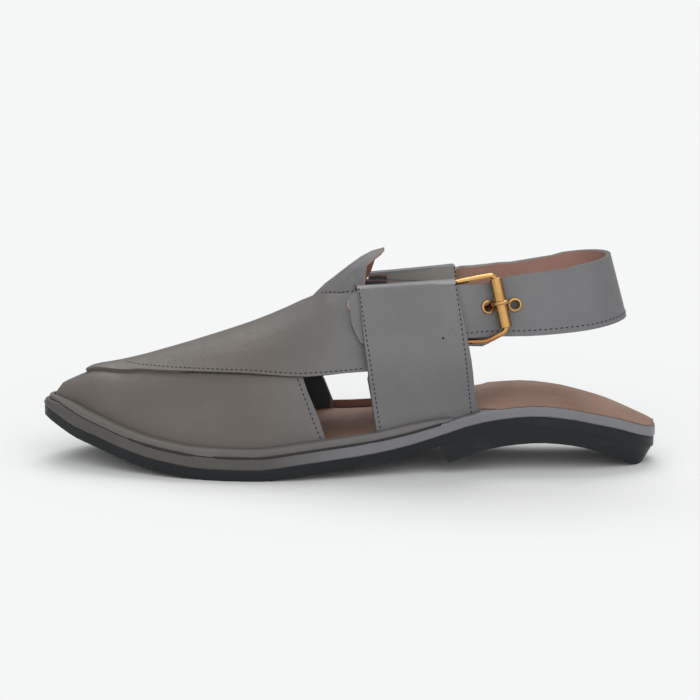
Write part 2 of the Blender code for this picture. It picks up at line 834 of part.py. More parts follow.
def side_sleeve(sleeve, name):
    """A wide side strap folded over at its top, with the straps' way through it."""
    levels = [SLEEVE_OPENS, 34.0, 39.0, 44.0, 49.0, 54.0, SLEEVE_WIDE, 72.0, 83.0]
    count = 9
    rings = []
    hollow = []

    def level_point(x, height, distance):
        u = find_u(x, sleeve.side, height, distance)
        return out_point(x, u, distance)

    for i in range(-1, count + 2):
        share = i / count
        top = sleeve_top(sleeve, share)
        ring = []
        inside = []
        for height in [None, 24.0] + levels + [top - 1.2]:
            ring.append(sleeve_corner(sleeve, share, height, sleeve.inner, level_point))
        x = sleeve_x(sleeve, share, top)
        wide = sleeve_out(sleeve, x, top) + SLEEVE_THICK
        ring.append(level_point(x, top, sleeve.inner + 1.0))
        ring.append(level_point(x, top, wide - 1.4))
        for height in reversed([None, 24.0] + levels + [top - 1.2]):
            ring.append(sleeve_corner(sleeve, share, height, None, level_point))
        if 0 <= i <= count:
            rings.append(ring)
        low = SLEEVE_OPENS + 4.5
        heights = [low] + [h for h in levels if h > low + 1.0] + [top - SLEEVE_THICK]
        for height in heights:
            x = sleeve_x(sleeve, share, height)
            inside.append(level_point(x, height, sleeve.inner + SLEEVE_THICK))
        for height in reversed(heights):
            x = sleeve_x(sleeve, share, height)
            distance = max(sleeve_out(sleeve, x, height), sleeve.inner + SLEEVE_THICK + 0.12)
            inside.append(level_point(x, height, distance))
        hollow.append(inside)
    body = sweep_solid(name, rings, "grey_leather")
    way = sweep_solid(name + "_way", hollow, "grey_leather")
    combine(body, way, "DIFFERENCE")
    return body


def sleeve_corner(sleeve, share, height, distance, level_point):
    """One point of a sleeve's cross-section; a height of None is its foot."""
    reach = SLEEVE_FOOT if height is None else height
    x = sleeve_x(sleeve, share, reach)
    outer = distance is None
    if outer:
        distance = sleeve_out(sleeve, x, reach) + SLEEVE_THICK
    if height is None:
        return out_point(x, float(sleeve.side), distance)
    return level_point(x, height, distance)


def build_upper():
    """Join the vamp panels, the tongue and the side sleeves into one hollow wall.

    The exact solver leaves open edges on these close layers, so the manifold one joins them.
    """
    upper = vamp_panel("upper", -1, UNDER_LAYER, LAST_TOE + 0.1, (1.0, -122.0, 1.0),
                       UNDER_STRAP, UNDER_STRAP[-1].x)
    over = vamp_panel("over_panel", 1, OVER_LAYER, OVER_FRONT, (0.05, OVER_FRONT, 0.9),
                      OVER_STRAP, OVER_STRAP[-1].x)
    pieces = [tongue(), over, side_sleeve(OUTER_SLEEVE, "outer_sleeve"),
              side_sleeve(INNER_SLEEVE, "inner_sleeve")]
    for piece in pieces:
        combine(upper, piece, "UNION", "MANIFOLD")
    tidy_mesh(upper, 0.00001)
    fill_bubbles(upper)


def strap_middle(share, side, x):
    """Middle surface of the heel strap on its straight run along one side."""
    low = smooth_read(HEEL_STRAP_RUN, x, 1)
    high = smooth_read(HEEL_STRAP_RUN, x, 2)
    out = smooth_read(HEEL_STRAP_RUN, x, 3)
    if side > 0:
        out = min(out, HEEL_STRAP_RUN[0].out)
    height = low + (high - low) * share
    if side > 0:
        height -= INNER_SIDE_DROP
    return out_point(x, find_u(x, side, height, out), out)


def strap_turn(share, side, x):
    """Middle surface between the straight run and the turn round the heel."""
    start = strap_middle(share, side, HEEL_STRAP_RUN[-1].x)
    t = ease((x - HEEL_STRAP_RUN[-1].x) / (STRAP_TURN_X - HEEL_STRAP_RUN[-1].x))
    half = STRAP_HALF_LOW + (STRAP_HALF_TOP - STRAP_HALF_LOW) * share
    low = HEEL_STRAP_RUN[-1].lower
    high = HEEL_STRAP_RUN[-1].upper
    rise = (x - HEEL_STRAP_RUN[-1].x) / (STRAP_BACK_LOW - HEEL_STRAP_RUN[-1].x)
    height = strap_height(share, rise, low, high)
    if side > 0:
        height -= INNER_SIDE_DROP
    return Vector((x, side * (abs(start.y) + (half - abs(start.y)) * t), height))


def strap_height(share, rise, low, high):
    """Height on the strap at a share up its width and a share of the way back."""
    rise_low = rise ** 1.6
    rise_high = rise ** 0.95
    bottom = low + (STRAP_BACK_EDGES[0] - low) * rise_low
    top = high + (STRAP_BACK_EDGES[1] - high) * rise_high
    return bottom + (top - bottom) * share


def strap_back(share, angle):
    """Middle surface round the back, angle 0 on the outer side and pi on the inner."""
    half = STRAP_HALF_LOW + (STRAP_HALF_TOP - STRAP_HALF_LOW) * share
    back = STRAP_BACK_LOW + (STRAP_BACK_TOP - STRAP_BACK_LOW) * share
    depth = back - STRAP_TURN_X
    x = STRAP_TURN_X + depth * math.sin(angle)
    y = -half * math.cos(angle)
    rise = (x - HEEL_STRAP_RUN[-1].x) / (back - HEEL_STRAP_RUN[-1].x)
    drop = INNER_SIDE_DROP * 0.5 * (1.0 - math.cos(angle))
    return Vector((x, y, strap_height(share, rise, HEEL_STRAP_RUN[-1].lower,
                                      HEEL_STRAP_RUN[-1].upper) - drop))


def heel_strap_grid(shares):
    """Rows of the heel strap's middle surface from its tip round to its inner end."""
    rows = []
    outer_run = [-0.6, 0.6, 3.0, 8.0, 16.0, 24.0, 29.0, 33.0, 37.0, 41.0, 46.0, 51.0, 55.0,
                 58.5, 62.0, 65.5, 69.0, 73.0, 78.0]
    turn = [83.0, 88.0, 93.0, 98.0]
    for x in outer_run:
        rows.append([strap_middle(share, -1, x) for share in shares])
    for x in turn:
        rows.append([strap_turn(share, -1, x) for share in shares])
    for k in range(15):
        rows.append([strap_back(share, math.pi * k / 14) for share in shares])
    for x in reversed(turn):
        rows.append([strap_turn(share, 1, x) for share in shares])
    for x in (78.0, 72.0, 66.0, 60.0, 54.0, 46.0, 38.0, 30.0, 22.0, INNER_END_X):
        rows.append([strap_middle(share, 1, x) for share in shares])
    return rows


def grid_normals(grid):
    """Outward directions of a grid whose rows run from the outer side round the heel."""
    normals = []
    for i, row in enumerate(grid):
        before = grid[max(0, i - 1)]
        after = grid[min(len(grid) - 1, i + 1)]
        line = []
        for j in range(len(row)):
            along = after[j] - before[j]
            across = row[min(len(row) - 1, j + 1)] - row[max(0, j - 1)]
            line.append(along.cross(across).normalized())
        normals.append(line)
    return normals


def build_heel_strap():
    """Lined strap round the heel, with its two holes."""
    shares = [0.0, 0.25, 0.5, 0.75, 1.0]
    grid = heel_strap_grid(shares)
    normals = grid_normals(grid)
    half = STRAP_THICK / 2.0
    inner = [[p - n * half for p, n in zip(row, line)] for row, line in zip(grid, normals)]
    outer = [[p + n * half for p, n in zip(row, line)] for row, line in zip(grid, normals)]
    strap = grid_solid("heel_strap", inner, outer, "grey_leather")
    for name, x, height in EYELET_PLACES:
        centre, normal = strap_place(x, height)
        hole = turned(name + "_hole", centre, normal, [(0.0, -4.0), (EYELET_HOLE / 2, -4.0),
                                                       (EYELET_HOLE / 2, 4.0), (0.0, 4.0)])
        combine(strap, hole, "DIFFERENCE")
    tidy_mesh(strap)


def strap_place(x, height):
    """Middle point and outward direction of the strap's outer run at a place."""
    low = smooth_read(HEEL_STRAP_RUN, x, 1)
    high = smooth_read(HEEL_STRAP_RUN, x, 2)
    share = (height - low) / (high - low)
    centre = strap_middle(share, -1, x)
    along = strap_middle(share, -1, x + 1.0) - strap_middle(share, -1, x - 1.0)
    across = strap_middle(share + 0.05, -1, x) - strap_middle(share - 0.05, -1, x)
    return centre, along.cross(across).normalized()


def turned(name, centre, axis, profile, sides=16, material="brass"):
    """Turn a profile of (radius, distance along the axis) about an axis."""
    across = axis.cross(Vector((0.0, 0.0, 1.0))).normalized()
    up = across.cross(axis).normalized()
    points = []
    faces = []
    closed = profile[0][0] > 0.0
    for k in range(sides):
        angle = 2.0 * math.pi * k / sides
        direction = across * math.cos(angle) + up * math.sin(angle)
        for radius, along in profile:
            points.append(centre + direction * radius + axis * along)
    count = len(profile)
    for k in range(sides):
        following = (k + 1) % sides
        for j in range(count if closed else count - 1):
            nxt = (j + 1) % count
            a, b = k * count + j, k * count + nxt
            c, d = following * count + nxt, following * count + j
            faces += [(a, b, c), (a, c, d)]
    return make_object(name, points, faces, material)


def build_eyelets():
    """Two rolled eyelets, flanged on the strap's outer face."""
    for name, x, height in EYELET_PLACES:
        centre, normal = strap_place(x, height)
        face = STRAP_THICK / 2.0 + GAP
        bore = EYELET_BORE / 2.0
        tube = EYELET_HOLE / 2.0 - 0.15
        rim = EYELET_OUTER / 2.0
        turned(name, centre, normal, [(bore, -face), (tube, -face), (tube, face),
                                      (rim, face), (rim - 0.25, face + 0.55),
                                      (tube, face + 0.7), (bore + 0.2, face + 0.45)])


def roller_frame():
    """Centre, axis and outward direction of the buckle's roller."""
    centre, normal = strap_place(*ROLLER_AT)
    axis = Vector((-math.sin(BUCKLE_TILT), 0.0, math.cos(BUCKLE_TILT)))
    axis = (axis - normal * axis.dot(normal)).normalized()
    return centre, axis, normal


def strap_reach(centre, axis, normal):
    """Furthest the strap stands out along the roller."""
    reach = 0.0
    for k in range(-6, 7):
        point = centre + axis * (ROLLER_LENGTH / 2.0) * k / 6.0
        surface, _ = strap_place(point.x, point.z)
        reach = max(reach, (surface - centre).dot(normal))
    return reach + STRAP_THICK / 2.0


def build_buckle():
    """Roller buckle: wire frame, roller and prong."""
    centre, axis, normal = roller_frame()
    lift = strap_reach(centre, axis, normal) + 0.5 + ROLLER_DIAMETER / 2.0
    middle = centre + normal * lift
    half = ROLLER_LENGTH / 2.0
    bore = WIRE / 2.0 + GAP
    radius = ROLLER_DIAMETER / 2.0
    turned("buckle_roller", middle, axis,
           [(bore, -half), (radius - 0.3, -half), (radius, -half + 0.3),
            (radius, half - 0.3), (radius - 0.3, half), (bore, half)])
    distance = OVER_LAYER[1] + GAP + WIRE / 2.0 + BAR_RAISE
    bar = out_point(BAR_AT[0], find_u(BAR_AT[0], -1, BAR_AT[1], distance), distance)
    top = smooth_corner(bar, 1, BAR_LENGTH / 2.0)
    low = smooth_corner(bar, -1, BAR_LENGTH / 2.0)
    roller_top = middle + axis * (half + 1.5)
    roller_low = middle - axis * (half + 1.5)
    bends = []
    for (x, height), start, finish in zip(WIRE_BENDS, (top, low), (roller_top, roller_low)):
        share = (x - start.x) / (finish.x - start.x)
        point = start.lerp(finish, share)
        bends.append(Vector((point.x, point.y, height)))
    path = rounded_loop([top, bends[0], roller_top, roller_low, bends[1], low], 2.4)
    wire_loop("buckle_frame", path, WIRE)
    return bar, middle, normal, axis


def smooth_corner(bar, direction, reach):
    """End of the buckle's bar, following the leather under it."""
    distance = OVER_LAYER[1] + GAP + WIRE / 2.0 + BAR_RAISE
    height = bar.z + direction * reach * 0.97
    x = BAR_AT[0] - direction * reach * math.sin(BUCKLE_TILT) * 0.4
    return out_point(x, find_u(x, -1, height, distance), distance)


def rounded_loop(corners, radius):
    """Closed path through corners, with an arc of points at each."""
    path = []
    count = len(corners)
    for k in range(count):
        corner = corners[k]
        before = (corners[k - 1] - corner).normalized()
        after = (corners[(k + 1) % count] - corner).normalized()
        start = corner + before * radius
        end = corner + after * radius
        for step in range(5):
            t = step / 4.0
            path.append(start * (1 - t) ** 2 + corner * 2 * t * (1 - t) + end * t ** 2)
        following = corners[(k + 1) % count]
        run = (following - corner).length
        for step in (0.3, 0.5, 0.7):
            if run * min(step, 1 - step) > radius:
                path.append(corner + after * run * step)
    return path


def wire_loop(name, path, diameter, sides=8, material="brass", closed=True, widths=None):
    """Tube along a path, closed on itself or capped at its ends."""
    rings = []
    count = len(path)
    guide = None
    for k in range(count):
        before = path[k - 1] if closed or k > 0 else path[k]
        after = path[(k + 1) % count] if closed or k < count - 1 else path[k]
        along = (after - before).normalized()
        if guide is None:
            guide = along.cross(Vector((0.0, 1.0, 0.0))).normalized()
        guide = (guide - along * guide.dot(along)).normalized()
        other = along.cross(guide)
        radius = diameter / 2.0 * (widths[k] if widths else 1.0)
        rings.append([path[k] + (guide * math.cos(2 * math.pi * j / sides)
                                 + other * math.sin(2 * math.pi * j / sides)) * radius
                      for j in range(sides)])
    if not closed:
        return sweep_solid(name, rings, material)
    points = [p for ring in rings for p in ring]
    faces = []
    for k in range(count):
        nxt = (k + 1) % count
        for j in range(sides):
            a, b = k * sides + j, k * sides + (j + 1) % sides
            c, d = nxt * sides + (j + 1) % sides, nxt * sides + j
            faces += [(a, b, c), (a, c, d)]
    return make_object(name, points, faces, material)


def build_prong(bar, middle, normal, axis):
    """Prong: lies under the strap, comes up through the front eyelet, over the roller."""
    eye, eye_normal = strap_place(*EYELET_PLACES[0][1:])
    to_rear = axis.cross(normal).normalized()
    if to_rear.x < 0:
        to_rear.negate()
    ride = ROLLER_DIAMETER / 2.0 + GAP + PRONG / 2.0 + 0.15
    start = bar + Vector((WIRE / 2.0 + PRONG / 2.0 + 0.35, 0.0, 0.6))
    path = [start,
            start.lerp(eye - eye_normal * 2.4, 0.55),
            eye - eye_normal * 1.9 - to_rear * 1.2,
            eye - to_rear * 0.1]
    for degrees in PRONG_WRAP:
        angle = math.radians(degrees)
        path.append(middle + (to_rear * math.cos(angle) + normal * math.sin(angle)) * ride)
    smooth = curve_through(path, 3)
    wire_loop("buckle_prong", smooth, PRONG, sides=8, closed=False,
              widths=[1.0] * (len(smooth) - 2) + [0.9, 0.6])


def curve_through(points, steps):
    """Smooth path through points."""
    path = []
    last = len(points) - 1
    for i in range(last):
        p0 = points[max(0, i - 1)]
        p1 = points[i]
        p2 = points[i + 1]
        p3 = points[min(last, i + 2)]
        for k in range(steps):
            t = k / steps
            path.append(0.5 * ((2 * p1) + (p2 - p0) * t + (2 * p0 - 5 * p1 + 4 * p2 - p3) * t * t
                               + (3 * p1 - p0 - 3 * p2 + p3) * t ** 3))
    path.append(points[-1])
    return path


def main():
    """Build every piece of the shoe."""
    for thing in list(bpy.data.objects):
        bpy.data.objects.remove(thing)
    build_sole()
    build_insole()
    build_rand()
    build_upper()
    build_heel_strap()
    build_eyelets()
    build_prong(*build_buckle())


main()
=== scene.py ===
"""Looks of a left peshawari chappal: grey leather, black heel, pink-brown lining, brass buckle.

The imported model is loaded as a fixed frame. Each CAD solid is shown by a merged, smooth
copy of itself in a procedural finish, and the stitches are grown along seams that are
found on the leather's own surface. Lengths are in metres unless a name says mm.
"""
from __future__ import annotations

import logging
import math
from dataclasses import dataclass, field
from enum import Enum
from typing import Callable

import bmesh
import bpy
from bpy.types import Material, Node, NodeSocket, NodeTree, Object
from mathutils import Matrix, Vector
from mathutils.bvhtree import BVHTree


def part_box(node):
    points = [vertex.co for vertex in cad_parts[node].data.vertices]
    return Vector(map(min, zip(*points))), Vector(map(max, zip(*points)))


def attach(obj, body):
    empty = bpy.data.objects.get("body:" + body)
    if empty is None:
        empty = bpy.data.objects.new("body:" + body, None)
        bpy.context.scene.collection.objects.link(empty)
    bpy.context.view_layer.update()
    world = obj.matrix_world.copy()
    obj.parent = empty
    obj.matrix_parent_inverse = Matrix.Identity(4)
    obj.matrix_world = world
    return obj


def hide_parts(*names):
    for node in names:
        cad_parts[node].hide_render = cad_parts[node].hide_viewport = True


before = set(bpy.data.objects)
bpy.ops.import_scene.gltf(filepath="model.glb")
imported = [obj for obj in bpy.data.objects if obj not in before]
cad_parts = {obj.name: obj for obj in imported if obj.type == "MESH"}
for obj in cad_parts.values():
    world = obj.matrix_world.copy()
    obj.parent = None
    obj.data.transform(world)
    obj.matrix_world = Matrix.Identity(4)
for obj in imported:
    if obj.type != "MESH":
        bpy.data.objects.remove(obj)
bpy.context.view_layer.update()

LOG = logging.getLogger("chappal")
MM = 0.001
BODY = "root"
MERGE_DISTANCE = 0.000002
SMOOTH_ANGLE = math.radians(38.0)
EVEN_PASSES = 4
RAY_STEP_MM = 1.5
TURN_RAYS = 90
SOLE_REACH = 0.2
UP = Vector((0.0, 0.0, 1.0))
ACROSS = Vector((0.0, 1.0, 0.0))

# Places in the side view, in mm: along the shoe and up.
Places = tuple[tuple[float, float], ...]
# Points of a line with the direction away from the leather at each.
Line = list[tuple[Vector, Vector]]


def linear(code: str) -> tuple[float, float, float, float]:
    """Turn an sRGB hex colour into linear values.

    Args:
        code: The colour as "#rrggbb".

    Returns:
        Linear red, green, blue and an alpha of one.
    """
    parts = [int(code[i:i + 2], 16) / 255.0 for i in (1, 3, 5)]
    parts = [p / 12.92 if p <= 0.04045 else ((p + 0.055) / 1.055) ** 2.4 for p in parts]
    return (parts[0], parts[1], parts[2], 1.0)


def add_node(tree: NodeTree, kind: str, inputs: dict | None = None, **settings) -> Node:
    """Add a node with its settings and what goes into it.

    Args:
        tree: The node tree that gets the node.
        kind: The node's type name.
        inputs: A value, or the socket to link, by the input's name or number.
        settings: Attributes of the node itself.

    Returns:
        The new node.
    """
    node = tree.nodes.new(kind)
    for name, value in settings.items():
        setattr(node, name, value)
    for name, value in (inputs or {}).items():
        if isinstance(value, NodeSocket):
            tree.links.new(value, node.inputs[name])
        else:
            node.inputs[name].default_value = value
    return node


def ramp(tree: NodeTree, source: NodeSocket, low: float, high: float,
         start: float = 0.0, end: float = 1.0) -> NodeSocket:
    """Map a value from one range to another, smoothly and clamped.

    Args:
        tree: The node tree.
        source: The socket to map.
        low: Value that gives the start.
        high: Value that gives the end.
        start: Result at the low value.
        end: Result at the high value.

    Returns:
        The mapped output socket.
    """
    node = add_node(tree, "ShaderNodeMapRange",
                    {"From Min": low, "From Max": high, "To Min": start, "To Max": end,
                     "Value": source}, interpolation_type="SMOOTHSTEP")
    return node.outputs["Result"]


def mix_colour(tree: NodeTree, factor: NodeSocket, first: tuple | NodeSocket,
               second: tuple | NodeSocket) -> NodeSocket:
    """Mix two colours by a factor.

    Args:
        tree: The node tree.
        factor: Socket with the share of the second colour.
        first: Colour or socket at zero.
        second: Colour or socket at one.

    Returns:
        The mixed colour's socket.
    """
    # A Mix node has its colours at inputs 6 and 7 and at output 2.
    inputs = {0: factor, 6: first, 7: second}
    return add_node(tree, "ShaderNodeMix", inputs, data_type="RGBA").outputs[2]


def combine_values(tree: NodeTree, operation: str, first: NodeSocket,
                   second: float | NodeSocket) -> NodeSocket:
    """Join two values with a Math node.

    Args:
        tree: The node tree.
        operation: The Math node's operation.
        first: First value's socket.
        second: Second value, a number or a socket.

    Returns:
        The result's socket.
    """
    inputs = {0: first, 1: second}
    return add_node(tree, "ShaderNodeMath", inputs, operation=operation).outputs[0]


def new_material(name: str) -> tuple[Material, NodeTree, Node, NodeSocket]:
    """Start a material that is placed by object coordinates.

    Args:
        name: The material's name.

    Returns:
        The material, its node tree, its shader and the object coordinates' socket.
    """
    material = bpy.data.materials.new(name)
    material.use_nodes = True
    tree = material.node_tree
    place = add_node(tree, "ShaderNodeTexCoord").outputs["Object"]
    return material, tree, tree.nodes["Principled BSDF"], place


def noise(tree: NodeTree, place: NodeSocket, size_mm: float,
          detail: float, roughness: float = 0.5, distortion: float = 0.0,
          output: str = "Fac") -> NodeSocket:
    """Add a noise texture.

    Args:
        tree: The node tree.
        place: Coordinates' socket.
        size_mm: Size of its largest spots.
        detail: Number of finer layers.
        roughness: Share of the finer layers.
        distortion: How far the spots are bent.
        output: Name of the output.

    Returns:
        The output's socket.
    """
    node = add_node(tree, "ShaderNodeTexNoise",
                    {"Scale": 1.0 / (size_mm * MM), "Detail": detail, "Roughness": roughness,
                     "Distortion": distortion, "Vector": place})
    return node.outputs[output]


def bump(tree: NodeTree, height: NodeSocket, depth_mm: float,
         strength: float, below: NodeSocket | None = None,
         invert: bool = False) -> NodeSocket:
    """Add a bump.

    Args:
        tree: The node tree.
        height: The height's socket.
        depth_mm: Depth of the bump.
        strength: Its strength.
        below: Normal of the bump that it lies on.
        invert: Whether high values go in.

    Returns:
        The normal's socket.
    """
    node = add_node(tree, "ShaderNodeBump",
                    {"Strength": strength, "Distance": depth_mm * MM, "Height": height},
                    invert=invert)
    if below:
        tree.links.new(below, node.inputs["Normal"])
    return node.outputs["Normal"]


def axis_of(tree: NodeTree, place: NodeSocket,
            axis: str) -> NodeSocket:
    """Take one axis of coordinates.

    Args:
        tree: The node tree.
        place: Coordinates' socket.
        axis: "X", "Y" or "Z".

    Returns:
        The axis's socket.
    """
    return add_node(tree, "ShaderNodeSeparateXYZ", {0: place}).outputs[axis]


def add_object(name: str, data: bpy.types.ID) -> Object:
    """Put an object in the scene.

    Args:
        name: Its name.
        data: Its mesh, camera or light.

    Returns:
        The object.
    """
    thing = bpy.data.objects.new(name, data)
    bpy.context.scene.collection.objects.link(thing)
    return thing


class Face(Enum):
    """Which finish a face of a leather piece gets; the value is its place in the list."""

    OUTER = 0
    INSIDE = 1
    EDGE = 2
    # Dark panel edges: a painted shadow line.
    PAINTED_SHADOW_EDGE = 3


@dataclass(frozen=True)
class LeatherFinish:
    """Drum-dyed, lightly finished calf leather: fine pores, soft low gloss, cloudy dye.

    The colour runs from a warm tone over the toes to a cooler one at the instep. Real
    pores are 0.2 mm wide; they are drawn coarser so that they show at all.
    """

    name: str
    toe_colour: str
    instep_colour: str
    roughness: float = 0.5
    specular: float = 0.4
    pore_mm: float = 0.8
    pore_depth_mm: float = 0.05
    wrinkle_mm: float = 8.0
    wrinkle_depth_mm: float = 0.35
    crease_mm: float = 7.0
    crease_depth_mm: float = 0.07
    cloud_mm: float = 34.0
    cloud_share: float = 0.10
    speck_mm: float = 1.5
    speck_share: float = 0.12
    bend_mm: float = 9.0
    bend: float = 0.008
    patch_mm: float = 22.0
    toe_end_mm: float = -50.0
    instep_start_mm: float = 14.0
    crease_start_mm: float = 0.0
    crease_full_mm: float = 22.0

    def build(self) -> Material:
        """Make the material with its dye clouds, pores, wrinkles and creases.

        Returns:
            The finished material.
        """
        material, tree, shader, place = new_material(self.name)
        along = axis_of(tree, place, "X")
        cool = ramp(tree, along, self.toe_end_mm * MM, self.instep_start_mm * MM)
        colour = mix_colour(tree, cool, linear(self.toe_colour), linear(self.instep_colour))
        clouds = noise(tree, place, self.cloud_mm, 4.0, 0.6)
        specks = noise(tree, place, self.speck_mm, 4.0, 0.7)
        shade = combine_values(tree, "ADD",
                               ramp(tree, clouds, 0.3, 0.7, 0.0, self.cloud_share),
                               ramp(tree, specks, 0.42, 0.30, 0.0, self.speck_share))
        colour = mix_colour(tree, shade, colour, (0.0, 0.0, 0.0, 1.0))
        tree.links.new(colour, shader.inputs["Base Color"])
        gloss = ramp(tree, clouds, 0.3, 0.7, self.roughness - 0.05, self.roughness + 0.08)
        tree.links.new(gloss, shader.inputs["Roughness"])
        shader.inputs["IOR"].default_value = 1.5
        shader.inputs["Specular IOR Level"].default_value = self.specular
        tree.links.new(self.relief(tree, place), shader.inputs["Normal"])
        return material

    def relief(self, tree: NodeTree, place: NodeSocket) -> NodeSocket:
        """Bump of pores over long soft wrinkles and a few fine creases.

        Args:
            tree: The material's node tree.
            place: Object coordinates.

        Returns:
            The normal's socket.
        """
        stretched = add_node(tree, "ShaderNodeMapping",
                             {"Rotation": (0.0, math.radians(35.0), 0.0),
                              "Scale": (1.0, 1.0, 0.4), "Vector": place}).outputs[0]
        wrinkles = noise(tree, stretched, self.wrinkle_mm, 5.0, 0.6, 0.6)
        bent = noise(tree, place, self.bend_mm, 2.0, output="Color")
        shifted = add_node(tree, "ShaderNodeVectorMath",
                           {0: bent, 1: (self.bend,) * 3, 2: place},
                           operation="MULTIPLY_ADD").outputs[0]
        cells = add_node(tree, "ShaderNodeTexVoronoi",
                         {"Scale": 1.0 / (self.crease_mm * MM), "Vector": shifted},
                         feature="DISTANCE_TO_EDGE").outputs["Distance"]
        patches = noise(tree, place, self.patch_mm, 1.0)
        creases = combine_values(tree, "MULTIPLY", ramp(tree, cells, 0.06, 0.0),
                                 ramp(tree, patches, 0.46, 0.60))
        rear = ramp(tree, axis_of(tree, place, "X"), self.crease_start_mm * MM,
                    self.crease_full_mm * MM)
        creases = combine_values(tree, "MULTIPLY", creases, rear)
        pores = add_node(tree, "ShaderNodeTexVoronoi",
                         {"Scale": 1.0 / (self.pore_mm * MM), "Smoothness": 0.6,
                          "Vector": place}, feature="SMOOTH_F1").outputs["Distance"]
        soft = bump(tree, wrinkles, self.wrinkle_depth_mm, 1.0)
        sharp = bump(tree, creases, self.crease_depth_mm, 0.8, soft, invert=True)
        return bump(tree, pores, self.pore_depth_mm, 0.8, sharp)


@dataclass(frozen=True)
class BlackSoleFinish:
    """Black sole leather and heel, inked and waxed: near black, satin, with small nicks."""

    name: str
    colour: str = "#12171a"
    worn: str = "#2b3338"
    worn_share: float = 0.55
    rub_mm: float = 7.0
    grit_mm: float = 1.6
    grit_depth_mm: float = 0.10

    def build(self) -> Material:
        """Make the material.

        Returns:
            The finished material.
        """
        material, tree, shader, place = new_material(self.name)
        flat = add_node(tree, "ShaderNodeMapping",
                        {"Scale": (0.2, 0.2, 1.0), "Vector": place}).outputs[0]
        rubs = noise(tree, flat, self.rub_mm, 5.0, 0.7)
        grit = noise(tree, place, self.grit_mm, 5.0, 0.7)
        colour = mix_colour(tree, ramp(tree, rubs, 0.5, 0.75, 0.0, self.worn_share),
                            linear(self.colour), linear(self.worn))
        tree.links.new(colour, shader.inputs["Base Color"])
        tree.links.new(ramp(tree, grit, 0.3, 0.7, 0.36, 0.55), shader.inputs["Roughness"])
        shader.inputs["Specular IOR Level"].default_value = 0.3
        tree.links.new(bump(tree, grit, self.grit_depth_mm, 0.6), shader.inputs["Normal"])
        return material


@dataclass(frozen=True)
class BrassFinish:
    """Polished cast brass: warm, bright, with hairline wear, a slightly copper tarnish in
    clouds, and darker and more copper towards the bottom.
    """

    name: str
    colour: str = "#bd935b"
    tarnish: str = "#9c6a48"
    roughness: float = 0.17
    cloud_mm: float = 6.0
    scratch_mm: float = 1.2
    scratch_depth_mm: float = 0.015
    bright_above_mm: float = 70.0
    darker_below_mm: float = 62.0

    def build(self) -> Material:
        """Make the material.

        Returns:
            The finished material.
        """
        material, tree, shader, place = new_material(self.name)
        cloud = noise(tree, place, self.cloud_mm, 4.0)
        # Below a set height the brass turns darker and more copper.
        low = ramp(tree, axis_of(tree, place, "Z"), self.bright_above_mm * MM,
                   self.darker_below_mm * MM)
        share = combine_values(tree, "MAXIMUM", ramp(tree, cloud, 0.5, 0.8, 0.0, 0.5), low)
        tree.links.new(mix_colour(tree, share, linear(self.colour), linear(self.tarnish)),
                       shader.inputs["Base Color"])
        shader.inputs["Metallic"].default_value = 1.0
        hair = noise(tree, place, self.scratch_mm, 4.0)
        tree.links.new(ramp(tree, hair, 0.3, 0.7, self.roughness, self.roughness + 0.10),
                       shader.inputs["Roughness"])
        tree.links.new(bump(tree, hair, self.scratch_depth_mm, 0.25),
                       shader.inputs["Normal"])
        return material


@dataclass(frozen=True)
class ThreadFinish:
    """Waxed sewing thread, darker than the leather and slightly fuzzy."""

    name: str
    colour: str = "#2b2a29"
    roughness: float = 0.75
    fuzz_mm: float = 0.4
    shaded: float = 0.55

    def build(self) -> Material:
        """Make the material.

        Returns:
            The finished material.
        """
        material, tree, shader, place = new_material(self.name)
        fuzz = noise(tree, place, self.fuzz_mm, 3.0)
        dark = tuple(c * self.shaded for c in linear(self.colour)[:3]) + (1.0,)
        tree.links.new(mix_colour(tree, fuzz, dark, linear(self.colour)),
                       shader.inputs["Base Color"])
        shader.inputs["Roughness"].default_value = self.roughness
        return material


def eased(value: float, low: float, high: float) -> float:
    """Rise smoothly from zero at the low value to one at the high value.

    Args:
        value: The value.
        low: Where the rise starts.
        high: Where it ends.

    Returns:
        A share between zero and one.
    """
    share = min(max((value - low) / (high - low), 0.0), 1.0)
    return share * share * (3.0 - 2.0 * share)


def smooth_copy(node: str, name: str, finishes: list[Material],
                kind_of: Callable[[Vector, Vector], Face] | None = None,
                bevel_mm: float = 0.0,
                shape: Callable[[Vector, Vector], Vector] | None = None) -> Object:
    """Show a CAD solid by a merged copy with smooth shading.

    Args:
        node: The CAD node's name.
        name: The new piece's name.
        finishes: Materials in the order of Face.
        kind_of: Tells each face's finish from its middle and direction, where it has more
            than one.
        bevel_mm: Width of the bevel on its sharp edges.
        shape: Small change of shape, from a corner's place and direction to its new place.

    Returns:
        The new piece, riding on the shoe's body.
    """
    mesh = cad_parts[node].data.copy()
    mesh.name = name
    mesh.materials.clear()
    work = bmesh.new()
    work.from_mesh(mesh)
    bmesh.ops.remove_doubles(work, verts=work.verts, dist=MERGE_DISTANCE)
    for layer in list(work.loops.layers.float_vector.values()):
        work.loops.layers.float_vector.remove(layer)
    for face in work.faces:
        face.smooth = True
        kind = kind_of(face.calc_center_median(), face.normal) if kind_of else Face.OUTER
        face.material_index = kind.value
    for edge in work.edges:
        edge.smooth = len(edge.link_faces) == 2 and edge.calc_face_angle(0.0) < SMOOTH_ANGLE
    if shape:
        for vertex in work.verts:
            vertex.co = shape(vertex.co.copy(), vertex.normal)
    work.to_mesh(mesh)
    work.free()
    custom = mesh.attributes.get("custom_normal")
    if custom:
        mesh.attributes.remove(custom)
    piece = add_object(name, mesh)
    for material in finishes:
        mesh.materials.append(material)
    if bevel_mm:
        bevel = piece.modifiers.new("soft edges", "BEVEL")
        bevel.width = bevel_mm * MM
        bevel.segments = 2
        bevel.limit_method = "ANGLE"
        bevel.angle_limit = SMOOTH_ANGLE
    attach(piece, BODY)
    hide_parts(node)
    LOG.info("%s shown by %s, %d faces", node, name, len(mesh.polygons))
    return piece


